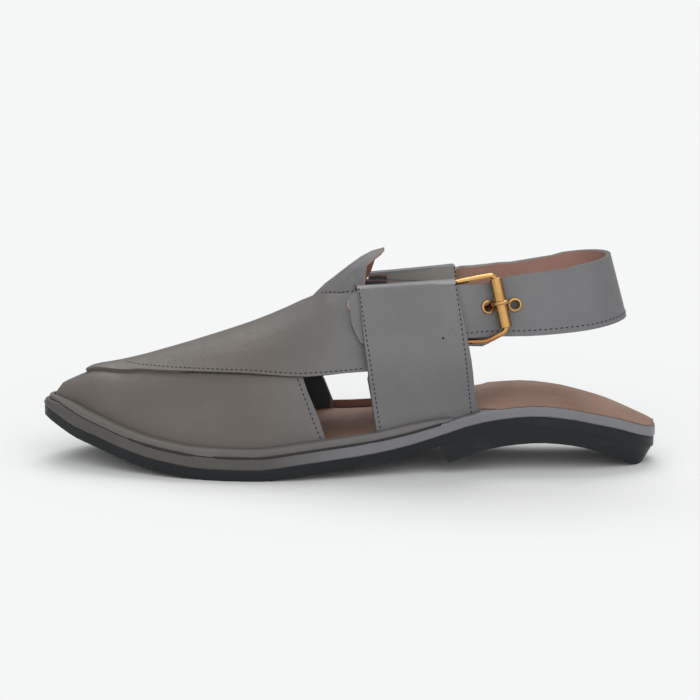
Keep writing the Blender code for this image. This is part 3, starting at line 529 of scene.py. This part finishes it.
def tube(name: str, lines: list[list[Vector]], radius_mm: float, sides: int,
         material: Material) -> Object:
    """Make closed round cords along lines.

    Args:
        name: The piece's name.
        lines: Points of each cord's middle.
        radius_mm: Radius of the cords.
        sides: Number of sides.
        material: Their finish.

    Returns:
        The piece, riding on the shoe's body.
    """
    points: list[Vector] = []
    faces: list[tuple[int, ...]] = []
    for line in lines:
        first = len(points)
        for k, place in enumerate(line):
            ahead = line[min(k + 1, len(line) - 1)] - line[max(k - 1, 0)]
            turn = ahead.to_track_quat("Z", "Y").to_matrix()
            for j in range(sides):
                angle = 2.0 * math.pi * j / sides
                ring = Vector((math.cos(angle), math.sin(angle), 0.0)) * radius_mm * MM
                points.append(place + turn @ ring)
            if k:
                low = first + (k - 1) * sides
                faces += [(low + j, low + (j + 1) % sides, low + sides + (j + 1) % sides,
                           low + sides + j) for j in range(sides)]
        last = first + (len(line) - 1) * sides
        faces.append(tuple(range(first + sides - 1, first - 1, -1)))
        faces.append(tuple(range(last, last + sides)))
    mesh = bpy.data.meshes.new(name)
    mesh.from_pydata(points, [], faces)
    work = bmesh.new()
    work.from_mesh(mesh)
    bmesh.ops.recalc_face_normals(work, faces=work.faces)
    for face in work.faces:
        face.smooth = len(face.verts) == 4
    work.to_mesh(mesh)
    work.free()
    mesh.materials.append(material)
    piece = add_object(name, mesh)
    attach(piece, BODY)
    LOG.info("%s: %d faces", name, len(faces))
    return piece


def sweep(start_mm: float, turn_mm: float, reach: float) -> Line:
    """Level rays at the shoe, from the outer side round one end to the inner side.

    Args:
        start_mm: Where the rays start along the shoe.
        turn_mm: Where they start to turn round the end.
        reach: Distance of the rays' starts from the shoe's middle line.

    Returns:
        Start points at height zero, and directions.
    """
    way = 1.0 if turn_mm > start_mm else -1.0
    count = int(abs(turn_mm - start_mm) / RAY_STEP_MM)
    places = [start_mm + way * RAY_STEP_MM * k for k in range(count)]
    rays = [(Vector((x * MM, -reach, 0.0)), ACROSS) for x in places]
    middle = Vector((turn_mm * MM, 0.0, 0.0))
    for k in range(TURN_RAYS):
        angle = math.pi * k / (TURN_RAYS - 1)
        direction = Vector((-way * math.sin(angle), math.cos(angle), 0.0))
        rays.append((middle - direction * reach, direction))
    return rays + [(Vector((x * MM, reach, 0.0)), -ACROSS) for x in reversed(places)]


def foot_line(rays: Line, upright: BVHTree, ledge: BVHTree, out_mm: float) -> Line:
    """Line where an upright piece meets the ledge that it stands on.

    Each ray climbs until it meets the piece, then drops onto the ledge just inside it,
    because the ledge is too narrow to be hit outside. The line is evened at the end.

    Args:
        rays: Level rays at the shoe.
        upright: Search tree of the standing piece.
        ledge: Search tree of the piece below.
        out_mm: Distance of the line from the standing piece's foot.

    Returns:
        Points and outward directions.
    """
    lowest_mm, climb_mm, levels, reach = 8.0, 0.25, 150, 0.19
    inside_mm, lift_mm, drop_mm = 0.1, 10.0, 30.0
    line = []
    for start, direction in rays:
        for k in range(levels):
            level = start + UP * (lowest_mm + k * climb_mm) * MM
            hit, _, _, _ = upright.ray_cast(level, direction, reach)
            if hit is None:
                continue
            above = hit + direction * inside_mm * MM + UP * lift_mm * MM
            place, _, _, _ = ledge.ray_cast(above, -UP, drop_mm * MM)
            if place is not None:
                place = place - direction * out_mm * MM
                line.append((place, (UP - direction).normalized()))
            break
    for _ in range(EVEN_PASSES):
        places = [place for place, _ in line]
        for k in range(1, len(line) - 1):
            line[k] = ((places[k - 1] + places[k] * 2.0 + places[k + 1]) / 4.0, line[k][1])
    return line


def surface_of(piece: Object) -> BVHTree:
    """Search tree of a piece's faces.

    Args:
        piece: The piece.

    Returns:
        The tree.
    """
    mesh = piece.data
    points = [v.co.copy() for v in mesh.vertices]
    return BVHTree.FromPolygons(points, [tuple(p.vertices) for p in mesh.polygons])


@dataclass
class Seam:
    """One row of stitches, given as places in the side view and cast onto the leather.

    The side is -1 for the outer one and 1 for the inner one; the start is how far out the
    rays begin, zero for leather that is seen from the shoe's middle.
    """

    places: Places
    side: int = -1
    start: float = 0.2


@dataclass
class Stitching:
    """Rows of waxed stitches grown along seams by Geometry Nodes."""

    finish: ThreadFinish = ThreadFinish("waxed thread, 0.5 mm")
    length_mm: float = 1.45
    width_mm: float = 0.62
    height_mm: float = 0.42
    lift_mm: float = 0.02
    material: Material | None = None
    tree: NodeTree | None = None

    def build_tree(self) -> NodeTree:
        """Make the node tree that lays stitches along a line.

        Returns:
            The tree, with pitch, length, width and height as inputs.
        """
        tree = bpy.data.node_groups.new("Stitch row", "GeometryNodeTree")
        face = tree.interface
        face.new_socket("Line", in_out="INPUT", socket_type="NodeSocketGeometry")
        for name, value in (("Pitch", 0.002), ("Length", self.length_mm * MM),
                            ("Width", self.width_mm * MM), ("Height", self.height_mm * MM),
                            ("Slant", 0.0)):
            socket = face.new_socket(name, in_out="INPUT", socket_type="NodeSocketFloat")
            socket.default_value = value
        face.new_socket("Thread", in_out="INPUT", socket_type="NodeSocketMaterial")
        face.new_socket("Stitches", in_out="OUTPUT", socket_type="NodeSocketGeometry")
        inputs = add_node(tree, "NodeGroupInput").outputs
        curve = add_node(tree, "GeometryNodeMeshToCurve", {0: inputs["Line"]})
        row = add_node(tree, "GeometryNodeResampleCurve",
                       {"Curve": curve.outputs[0], "Length": inputs["Pitch"]}, mode="LENGTH")
        size = add_node(tree, "ShaderNodeCombineXYZ",
                        {0: inputs["Length"], 1: inputs["Width"], 2: inputs["Height"]})
        ball = add_node(tree, "GeometryNodeMeshUVSphere",
                        {"Segments": 8, "Rings": 6, "Radius": 0.5})
        stitch = add_node(tree, "GeometryNodeTransform",
                          {"Geometry": ball.outputs[0], "Scale": size.outputs[0]})
        tangent = add_node(tree, "GeometryNodeInputTangent")
        facing = add_node(tree, "GeometryNodeInputNamedAttribute",
                          {"Name": "facing"}, data_type="FLOAT_VECTOR")
        up = add_node(tree, "FunctionNodeAlignRotationToVector",
                      {"Vector": facing.outputs[0]}, axis="Z")
        along = add_node(tree, "FunctionNodeAlignRotationToVector",
                         {"Rotation": up.outputs[0], "Vector": tangent.outputs[0]}, axis="X",
                         pivot_axis="Z")
        spin = add_node(tree, "FunctionNodeAxisAngleToRotation",
                        {"Axis": (0.0, 0.0, 1.0), "Angle": inputs["Slant"]})
        turned = add_node(tree, "FunctionNodeRotateRotation",
                          {0: along.outputs[0], 1: spin.outputs[0]}, rotation_space="LOCAL")
        placed = add_node(tree, "GeometryNodeInstanceOnPoints",
                          {"Points": row.outputs[0], "Instance": stitch.outputs[0],
                           "Rotation": turned.outputs[0]})
        solid = add_node(tree, "GeometryNodeRealizeInstances", {0: placed.outputs[0]})
        painted = add_node(tree, "GeometryNodeSetMaterial",
                           {"Geometry": solid.outputs[0], "Material": inputs["Thread"]})
        smooth = add_node(tree, "GeometryNodeSetShadeSmooth", {0: painted.outputs[0]})
        add_node(tree, "NodeGroupOutput", {0: smooth.outputs[0]})
        return tree

    def cast(self, seam: Seam, leather: BVHTree) -> Line:
        """Find a seam on the leather by casting across the shoe.

        Args:
            seam: The seam, in mm in the side view.
            leather: Search tree of the leather.

        Returns:
            Points and outward directions along the seam.
        """
        found = []
        direction = ACROSS * -seam.side
        for (x0, z0), (x1, z1) in zip(seam.places, seam.places[1:]):
            steps = max(2, int(math.hypot(x1 - x0, z1 - z0)))
            for k in range(steps):
                t = k / steps
                start = Vector(((x0 + (x1 - x0) * t) * MM, seam.side * seam.start,
                                (z0 + (z1 - z0) * t) * MM))
                point, normal, _, _ = leather.ray_cast(start, direction)
                if point is not None:
                    found.append((point, normal if normal.dot(direction) < 0 else -normal))
        return found

    def sew(self, name: str, lines: list[Line], pitch_mm: float,
            slant_degrees: float = 0.0, scale: float = 1.0) -> Object:
        """Lay stitches along lines and make them one plain mesh.

        Args:
            name: The piece's name.
            lines: Points and outward directions of each line.
            pitch_mm: Distance from stitch to stitch.
            slant_degrees: Turn of each stitch on the surface.
            scale: Size of the stitches.

        Returns:
            The piece, riding on the shoe's body.
        """
        self.tree = self.tree or self.build_tree()
        self.material = self.material or self.finish.build()
        mesh = bpy.data.meshes.new(name + " line")
        points: list[Vector] = []
        edges: list[tuple[int, int]] = []
        facing: list[float] = []
        for line in lines:
            for k, (point, normal) in enumerate(line):
                if k:
                    edges.append((len(points) - 1, len(points)))
                points.append(point + normal * self.lift_mm * MM)
                facing += list(normal)
        mesh.from_pydata(points, edges, [])
        layer = mesh.attributes.new("facing", "FLOAT_VECTOR", "POINT")
        layer.data.foreach_set("vector", facing)
        guide = add_object(name + " line", mesh)
        modifier = guide.modifiers.new("stitches", "NODES")
        modifier.node_group = self.tree
        wanted = {"Pitch": pitch_mm * MM, "Length": self.length_mm * MM * scale,
                  "Width": self.width_mm * MM * scale, "Height": self.height_mm * MM * scale,
                  "Slant": math.radians(slant_degrees), "Thread": self.material}
        for item in self.tree.interface.items_tree:
            if item.in_out == "INPUT" and item.name in wanted:
                modifier[item.identifier] = wanted[item.name]
        bpy.context.view_layer.update()
        view = bpy.context.evaluated_depsgraph_get()
        plain = bpy.data.meshes.new_from_object(guide.evaluated_get(view))
        plain.name = name
        bpy.data.objects.remove(guide)
        piece = add_object(name, plain)
        if not plain.materials:
            plain.materials.append(self.material)
        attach(piece, BODY)
        LOG.info("%s: %d faces", name, len(plain.polygons))
        return piece


@dataclass
class Sole:
    """Outsole, arched heel, wrapped midsole, padded insole and the rand round the front."""

    # Inked sole leather: near black, so that only its satin sheen shows its shape.
    black: BlackSoleFinish = BlackSoleFinish("black inked sole leather, waxed")
    # Thin calf wrapped round the midsole: smoother and cooler than the upper.
    wrap: LeatherFinish = LeatherFinish(
        "calf wrap of the midsole, smooth", "#4f4c49", "#77777b", roughness=0.42,
        pore_mm=0.8, pore_depth_mm=0.03, wrinkle_mm=14.0, wrinkle_depth_mm=0.2)
    # Undyed sheep lining on the insole: matt, cloudy, with soft dents from the foot.
    sock: LeatherFinish = LeatherFinish(
        "pink-brown sheep sock leather, matt", "#937465", "#8e7162", roughness=0.66,
        specular=0.25, pore_mm=0.9, wrinkle_mm=15.0, wrinkle_depth_mm=0.8,
        cloud_mm=22.0, cloud_share=0.14)
    # Narrow strip of the upper's own calf, gathered in fine folds at the toe.
    trim: LeatherFinish = LeatherFinish(
        "warm grey calf rand", "#625e5a", "#6a6867", wrinkle_mm=3.0, wrinkle_depth_mm=0.35)
    # The rand's inner wall is covered by the red-brown lining.
    lining: LeatherFinish = LeatherFinish(
        "red-brown lining leather, rand", "#b07c70", "#b07c70", roughness=0.7, specular=0.2)
    joint_mm: float = 0.32
    soft_edge_mm: float = 0.7
    # The groove between rand and midsole, with a thread in it and slanted whip stitches.
    groove_ends_mm: tuple[float, float] = (41.0, -100.0)
    groove_out_mm: float = 0.35
    groove_up_mm: float = 0.2
    groove_thread_mm: float = 0.55
    whip_pitch_mm: float = 2.2
    whip_slant: float = 40.0
    whip_scale: float = 1.3
    # The dark line round the insole's edge.
    edge_ends_mm: tuple[float, float] = (54.0, 105.0)
    edge_out_mm: float = 0.05
    edge_line_mm: float = 0.22

    def dress(self) -> dict[str, Object]:
        """Show every layer of the sole in its finish.

        Returns:
            The pieces by CAD node.
        """
        black = [self.black.build()]
        return {
            "outsole": smooth_copy("outsole", "outsole_leather", black),
            "heel": smooth_copy("heel", "heel_block", black,
                                shape=self.close_joint),
            "midsole": smooth_copy("midsole", "midsole_wrap",
                                   [self.wrap.build()], bevel_mm=self.soft_edge_mm),
            "rand": smooth_copy("rand", "rand_leather",
                                [self.trim.build(), self.lining.build()],
                                self.rand_kind),
            "insole": smooth_copy("insole", "insole_sock",
                                  [self.sock.build()]),
        }

    def rand_kind(self, centre: Vector, normal: Vector) -> Face:
        """Tell the rand's inner wall from its outer leather.

        Args:
            centre: A face's middle.
            normal: Its outward direction.

        Returns:
            The face's finish.
        """
        inward = normal.y * math.copysign(1.0, centre.y) < -0.4
        return Face.INSIDE if inward and centre.x > -110.0 * MM else Face.OUTER

    def close_joint(self, place: Vector, normal: Vector) -> Vector:
        """Raise the heel's top corners to the outsole, so that no joint shows between.

        Args:
            place: A corner's place.
            normal: Its direction.

        Returns:
            Its new place.
        """
        return place + UP * self.joint_mm * MM if normal.z > 0.1 else place


@dataclass
class Upper:
    """Crossed vamp panels, tongue and folded side sleeves, with their rows of stitches."""

    # Finished calf: its soft low sheen follows the last, with a few creases at the sleeve.
    leather: LeatherFinish = LeatherFinish(
        "grey finished calf upper", "#605a54", "#6d6d6e", roughness=0.47)
    # The vamps' flesh side was dyed slate grey: rough, dull and dark.
    inside: LeatherFinish = LeatherFinish(
        "slate grey dyed flesh side", "#5b5e61", "#5b5e61", roughness=0.85, specular=0.15)
    # Raw cut edge of lined leather, pale pink.
    cut: LeatherFinish = LeatherFinish(
        "raw cut edge, pale pink", "#c3a197", "#c3a197", roughness=0.8, specular=0.2)
    # Cut edges of the panels that face down or back, in a dark finish: a thin painted shadow
    # line beside each panel.
    inked: LeatherFinish = LeatherFinish(
        "dark panel edge, painted shadow line", "#3d3a38", "#3d3a38", roughness=0.55)
    # Red-brown vegetable-tanned lining, under the tongue and round the foot bed.
    lining_colour: str = "#b07c70"
    # Grey calf inside the sleeves, painted paler than the rest: painted light on their shaded
    # faces.
    sleeve_painted_light_colour: str = "#a3a19c"
    # Where the lining patches and the sleeves' painted light end: heights, places along the shoe
    # and half a width.
    bed_mm: float = 27.0
    tongue_lining_mm: float = 68.0
    bed_from_mm: float = -8.0
    sleeve_from_mm: float = 18.0
    tongue_half_mm: float = 16.0
    line_mm: float = 0.2
    tongue_hollow_mm: float = 4.6
    tongue_back_mm: float = 3.0
    front_edge: Places = (
        (20.0, 0.0), (47.0, -1.3), (65.0, -1.0), (76.0, 0.8), (86.0, 2.6), (95.0, 2.6))
    fold_down_mm: float = 1.0
    outer_top_down_mm: float = 2.0
    inner_top_down_mm: float = 1.2
    outer_seams: tuple[Places, ...] = (
        # The over panel's lower edge.
        ((-106.0, 46.2), (-99.0, 46.4), (-70.7, 47.8), (-48.4, 48.7), (-24.5, 48.2),
         (-6.0, 49.5), (4.6, 50.2)),
        # The over panel's top edge.
        ((-25.0, 77.4), (-22.0, 79.0), (-20.0, 80.0), (-15.0, 81.2), (-6.0, 82.3), (1.0, 83.4)),
        # The under panel's rear edge, at the window.
        ((-25.4, 45.0), (-21.3, 35.0), (-18.0, 26.0), (-13.8, 16.0)),
        # The sleeve's front edge, its rear edge, and the dashes over the strap's end.
        ((2.6, 85.4), (12.9, 22.0)),
        ((47.2, 88.4), (56.2, 25.5)),
        ((-1.2, 77.6), (2.2, 77.4)))
    inner_seams: tuple[Places, ...] = (
        # The panels' rear, lower and top edges.
        ((-22.4, 45.0), (-17.0, 35.0), (-8.6, 19.0)),
        ((-20.0, 49.4), (-6.0, 50.4), (10.0, 51.0)),
        ((-8.0, 80.4), (8.0, 82.0)),
        # The sleeve's front and rear edges.
        ((11.9, 85.0), (17.0, 22.0)),
        ((48.3, 89.4), (57.0, 25.0)))
    inner_sleeve_lip: Places = ((50.2, 89.5), (51.8, 80.0))
    end_curl: Places = ((-1.7, 79.6), (-2.2, 78.0), (-1.7, 76.6), (-0.8, 75.8))
    awl_hole: tuple[float, float] = (41.3, 64.9)
    hole_mm: float = 0.6
    curl_mm: float = 0.45
    pitch_mm: float = 2.3

    def dress(self) -> Object:
        """Show the upper in its leathers.

        Returns:
            The upper's piece.
        """
        finishes = [each.build() for each in (self.leather, self.inside, self.cut,
                                              self.inked)]
        self.line_inside(finishes[Face.INSIDE.value])
        return smooth_copy("upper", "upper_leather", finishes,
                           self.kind_of, shape=self.trim)

    def line_inside(self, material: Material) -> None:
        """Colour the inside by place, so that its linings meet at clean lines; paint light into
        the sleeves.

        Args:
            material: The flesh side's finish, which covers the whole inside.
        """
        tree = material.node_tree
        base = tree.nodes["Principled BSDF"].inputs["Base Color"]
        place = add_node(tree, "ShaderNodeTexCoord").outputs["Object"]
        x, y, z = add_node(tree, "ShaderNodeSeparateXYZ", {0: place}).outputs[:3]
        side = combine_values(tree, "ABSOLUTE", y, 0.0)
        colour = base.links[0].from_socket
        # Each patch has its colour and its limits: axis, place in mm, and the way it goes.
        patches = (
            (self.lining_colour, ((z, self.tongue_lining_mm, 1), (side, self.tongue_half_mm, -1),
                                  (x, self.sleeve_from_mm, -1))),
            (self.lining_colour, ((z, self.bed_mm, -1), (x, self.bed_from_mm, 1))),
            # The sleeves' inner faces: a paler copy of the grey calf, as painted light.
            (self.sleeve_painted_light_colour, ((z, self.bed_mm, 1), (x, self.sleeve_from_mm, 1))))
        for patch_colour, limits in patches:
            share = None
            for axis, limit, way in limits:
                half = self.line_mm * way
                part = ramp(tree, axis, (limit - half) * MM, (limit + half) * MM)
                share = combine_values(tree, "MULTIPLY", share, part) if share else part
            colour = mix_colour(tree, share, colour, linear(patch_colour))
        tree.links.new(colour, base)

    def kind_of(self, centre: Vector, normal: Vector) -> Face:
        """Tell linings and edges from the outer leather.

        Args:
            centre: A face's middle.
            normal: Its outward direction.

        Returns:
            The face's finish.
        """
        x, y, z = centre / MM
        # The last's middle line is about 24 mm up; faces that look at it are the inside.
        outward = Vector((0.0, y, z - 24.0))
        facing = outward.normalized().dot(normal) if outward.length else 1.0
        if z > 83.0 and x < 18.0 and normal.x > 0.6:
            return Face.EDGE
        # Down- and back-facing panel edges get the dark finish: painted shadow under and behind
        # each panel.
        if x < 12.0 and 40.0 < z < 72.0 and normal.z < -0.6 and facing > -0.75:
            return Face.PAINTED_SHADOW_EDGE
        if x < 8.0 and z < 60.0 and normal.x > 0.75:
            return Face.PAINTED_SHADOW_EDGE
        return Face.OUTER if facing > -0.3 else Face.INSIDE

    def trim(self, place: Vector, normal: Vector) -> Vector:
        """Hollow the tongue's outer rear edge and lower the sleeves' tops a little.

        Args:
            place: A corner's place.
            normal: Its direction; not used.

        Returns:
            Its new place.
        """
        x, y, z = place / MM
        # The tongue, above the panels and between the sleeves.
        if z > 76.0 and x < 19.0 and abs(y) < 16.0:
            edge = eased(x, -11.0, 5.0) * eased(-z, -101.0, -89.0)
            near = eased(-y, 0.0, 5.0) * eased(y, -14.5, -11.0)
            far = eased(y, 2.0, 8.0) * eased(-y, -16.0, -13.0)
            x += edge * (self.tongue_back_mm * far - self.tongue_hollow_mm * near)
        # The outer sleeve: its front edge, and its top, which leans in over the foot.
        if x > -6.0 and (y < -34.0 or (z > 80.0 and y < -11.5)):
            push = 0.0
            for (z0, push0), (z1, push1) in zip(self.front_edge, self.front_edge[1:]):
                if z0 <= z <= z1:
                    push = push0 + (push1 - push0) * (z - z0) / (z1 - z0)
            share = eased(-y, 17.0, 20.0)
            x += push * share * eased(x, -6.0, -1.0) * eased(-x, -28.0, -14.0)
            down = self.outer_top_down_mm + self.fold_down_mm * eased(y, -24.0, -15.0)
            z -= down * eased(z, 76.0, 87.0) * eased(-y, 11.5, 14.0)
        # The inner sleeve's top.
        if y > 14.0 and x > 8.0:
            z -= self.inner_top_down_mm * eased(z, 78.0, 87.0)
        return Vector((x, y, z)) * MM

    def seams(self) -> list[Seam]:
        """Every seam of the upper.

        Returns:
            The seams, outer side first.
        """
        rows = [Seam(places, -1) for places in self.outer_seams]
        rows += [Seam(places, 1) for places in self.inner_seams]
        return rows + [Seam(self.inner_sleeve_lip, -1, 0.0)]

    def details(self, leather: BVHTree, dark: Material, pale: Material) -> None:
        """Add the awl hole in the sleeve, a dark disc of painted shade, and the pale curl at the
        strap's end.

        Args:
            leather: Search tree of the upper.
            dark: Finish of the hole.
            pale: Finish of the curl.
        """
        hits = [leather.ray_cast(Vector((x * MM, -0.2, z * MM)), ACROSS)
                for x, z in (self.awl_hole, *self.end_curl)]
        point, normal = hits[0][:2]
        # The awl hole is a dark disc on the leather: painted shade in place of a real hole.
        tube("awl_hole", [[point - normal * 0.2 * MM, point + normal * 0.05 * MM]],
             self.hole_mm, 16, dark)
        curl = [hit[0] - ACROSS * 0.15 * MM for hit in hits[1:]]
        tube("strap_end_curl", [curl], self.curl_mm, 8, pale)


@dataclass
class HeelStrap:
    """Lined heel strap with one row of stitches above its lower edge."""

    # The same finished calf as the upper.
    leather: LeatherFinish = LeatherFinish(
        "grey finished calf strap", "#6c6c6d", "#6e6e70", roughness=0.47)
    # Sheep lining glued inside the strap: pink-brown, matt, finely wrinkled by the bend.
    lining: LeatherFinish = LeatherFinish(
        "pink-brown sheep strap lining", "#ab877b", "#ab877b", roughness=0.68,
        specular=0.25, wrinkle_mm=3.5, wrinkle_depth_mm=0.5)
    # Inked edge between leather and lining.
    inked: LeatherFinish = LeatherFinish(
        "inked strap edge", "#5c5a59", "#5c5a59", roughness=0.55)
    seam_up_mm: float = 2.6
    pitch_mm: float = 2.5
    turn_x_mm: float = 103.0
    run_start_mm: float = 50.0
    middle_x_mm: float = 85.0
    inner_top_up_mm: float = 2.5

    def dress(self) -> Object:
        """Show the strap in its leathers.

        Returns:
            The strap's piece.
        """
        finishes = [self.leather.build(), self.lining.build(), self.inked.build()]
        return smooth_copy("heel_strap", "heel_strap_leather", finishes,
                           self.kind_of, shape=self.raise_inner_top)

    def kind_of(self, centre: Vector, normal: Vector) -> Face:
        """Tell the lining and the edges from the outer leather.

        Args:
            centre: A face's middle.
            normal: Its outward direction.

        Returns:
            The face's finish.
        """
        if abs(normal.z) > 0.75:
            return Face.EDGE
        outward = Vector((max(centre.x - self.middle_x_mm * MM, 0.0), centre.y, 0.0))
        return Face.OUTER if outward.dot(normal) > 0.0 else Face.INSIDE

    def raise_inner_top(self, place: Vector, normal: Vector) -> Vector:
        """Raise the inner run's top edge a little behind the sleeve.

        Args:
            place: A corner's place.
            normal: Its direction; not used.

        Returns:
            Its new place.
        """
        x, y, z = place / MM
        if y > 8.0:
            share = eased(x, 49.0, 53.0) * eased(-x, -80.0, -58.0) * eased(z, 70.0, 82.0)
            z += self.inner_top_up_mm * share
        return Vector((x, y, z)) * MM

    def seam_line(self, leather: BVHTree) -> Line:
        """Line a little above the strap's lower edge, all the way round.

        The rays end short of the far side, so that one that passes under the edge misses.

        Args:
            leather: Search tree of the strap.

        Returns:
            Points and outward directions.
        """
        lowest_mm, climb_mm, levels, reach = 56.0, 0.3, 90, 0.148
        line = []
        for start, direction in sweep(self.run_start_mm, self.turn_x_mm, 0.15):
            for k in range(levels):
                level = start + UP * (lowest_mm + k * climb_mm) * MM
                if leather.ray_cast(level, direction, reach)[0] is not None:
                    break
            level += UP * self.seam_up_mm * MM
            point, normal, _, _ = leather.ray_cast(level, direction, reach)
            if point is not None:
                line.append((point, normal if normal.dot(direction) < 0 else -normal))
        return line


@dataclass
class Buckle:
    """Roller buckle in brass, with two eyelets."""

    # Cast and polished brass: long bright streaks, darker and more copper low down.
    brass: BrassFinish = BrassFinish("polished brass, darker low down")
    nodes: tuple[str, ...] = ("buckle_frame", "buckle_roller", "buckle_prong",
                              "eyelet_front", "eyelet_rear")
    hole_mm: float = 2.2

    def dress(self) -> None:
        """Show every metal piece in brass."""
        material = self.brass.build()
        for node in self.nodes:
            smooth_copy(node, node + "_brass", [material])

    def backing(self, slate: Material) -> None:
        """Close the free eyelet's hole with the slate under-layer seen in it.

        Args:
            slate: The under-layer's finish.
        """
        low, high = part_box("eyelet_rear")
        front, back = ((low + high) / 2.0 + ACROSS * depth * MM for depth in (0.6, 1.0))
        tube("eyelet_backing", [[front, back]], self.hole_mm, 20, slate)


@dataclass
class Studio:
    """Pale seamless floor, soft lights and the camera at the photograph's angle."""

    target: Vector = field(default_factory=lambda: Vector((0.0, 0.0, 0.050)))
    elevation: float = math.radians(11.5)
    yaw: float = math.radians(2.5)
    roll: float = math.radians(0.85)
    distance: float = 1.1
    pixels_per_mm: float = 2.10
    picture: int = 700
    drop_pixels: float = 3.8
    floor_colour: str = "#e5e6e6"
    floor_size: float = 60.0
    top_light: float = 0.72
    side_light: float = 0.28
    front_light: float = 1.00
    sun_strength: float = 1.35
    sun_from_behind: float = math.radians(35.0)
    sun_width: float = math.radians(40.0)

    def build(self) -> None:
        """Set up the floor, the light and the camera."""
        self.build_floor()
        self.build_light()
        self.build_camera()

    def build_camera(self) -> None:
        """Place the camera as fitted to the photograph."""
        back = Vector((-math.sin(self.yaw) * math.cos(self.elevation),
                       -math.cos(self.yaw) * math.cos(self.elevation),
                       math.sin(self.elevation)))
        data = bpy.data.cameras.new("camera")
        data.sensor_width = 36.0
        data.lens = 36.0 * self.pixels_per_mm * 1000.0 * self.distance / self.picture
        data.shift_y = self.drop_pixels / self.picture
        data.clip_end = 200.0
        camera = add_object("camera", data)
        turn = back.to_track_quat("Z", "Y").to_matrix().to_4x4()
        camera.matrix_world = (Matrix.Translation(self.target + back * self.distance)
                               @ turn @ Matrix.Rotation(self.roll, 4, "Z"))
        bpy.context.scene.camera = camera

    def build_floor(self) -> None:
        """Lay the pale floor."""
        half = self.floor_size / 2.0
        mesh = bpy.data.meshes.new("floor")
        mesh.from_pydata([(-half, -half, 0.0), (half, -half, 0.0), (half, half, 0.0),
                          (-half, half, 0.0)], [], [(0, 1, 2, 3)])
        floor = add_object("floor", mesh)
        material, _, shader, _ = new_material("matt white paper")
        shader.inputs["Base Color"].default_value = linear(self.floor_colour)
        shader.inputs["Roughness"].default_value = 1.0
        shader.inputs["Specular IOR Level"].default_value = 0.0
        mesh.materials.append(material)

    def build_light(self) -> None:
        """Soft box overhead, made as a bright top of the surroundings, with a soft sun.

        The sides are darker than the top, so metal shows bands and the floor under the
        sole goes grey; the front is a little brighter, for the side that is seen.
        """
        scene = bpy.context.scene
        scene.view_settings.view_transform = "Standard"
        world = bpy.data.worlds.new("studio")
        world.use_nodes = True
        tree = world.node_tree
        way = add_node(tree, "ShaderNodeTexCoord").outputs["Generated"]
        top = ramp(tree, axis_of(tree, way, "Z"), 0.0, 0.85, self.side_light, self.top_light)
        front = ramp(tree, axis_of(tree, way, "Y"), -0.1, -0.9, 0.0, self.front_light)
        strength = combine_values(tree, "ADD", top, front)
        tree.links.new(strength, tree.nodes["Background"].inputs["Strength"])
        tree.nodes["Background"].inputs["Color"].default_value = linear("#ffffff")
        scene.world = world
        data = bpy.data.lights.new("soft top light", "SUN")
        data.energy = self.sun_strength
        data.angle = self.sun_width
        light = add_object("soft top light", data)
        light.rotation_euler = (-self.sun_from_behind, 0.0, 0.0)


def main() -> None:
    """Dress the shoe piece by piece and set up the studio."""
    logging.basicConfig(level=logging.INFO, format="%(message)s")
    sole = Sole()
    layers = sole.dress()
    upper = Upper()
    leather = upper.dress()
    strap = HeelStrap()
    strap_piece = strap.dress()
    buckle = Buckle()
    buckle.dress()
    stitching = Stitching()
    upper_tree = surface_of(leather)
    rows = [stitching.cast(seam, upper_tree) for seam in upper.seams()]
    stitching.sew("upper_stitches", rows, upper.pitch_mm)
    stitching.sew("heel_strap_stitches", [strap.seam_line(surface_of(strap_piece))],
                  strap.pitch_mm)
    dark = stitching.material
    midsole_tree = surface_of(layers["midsole"])
    groove = foot_line(sweep(*sole.groove_ends_mm, SOLE_REACH), surface_of(layers["rand"]),
                       midsole_tree, sole.groove_out_mm)
    raised = [(point + normal * sole.groove_up_mm * MM, normal) for point, normal in groove]
    tube("rand_groove_thread", [[point for point, _ in raised]], sole.groove_thread_mm, 6,
         dark)
    stitching.sew("rand_whip_stitches", [raised], sole.whip_pitch_mm, sole.whip_slant,
                  sole.whip_scale)
    edge = foot_line(sweep(*sole.edge_ends_mm, SOLE_REACH), surface_of(layers["insole"]),
                     midsole_tree, sole.edge_out_mm)
    tube("insole_edge_line", [[point for point, _ in edge]], sole.edge_line_mm, 6,
         upper.inked.build())
    upper.details(upper_tree, dark, upper.cut.build())
    buckle.backing(upper.inside.build())
    Studio().build()


if __name__ == "__main__":
    main()
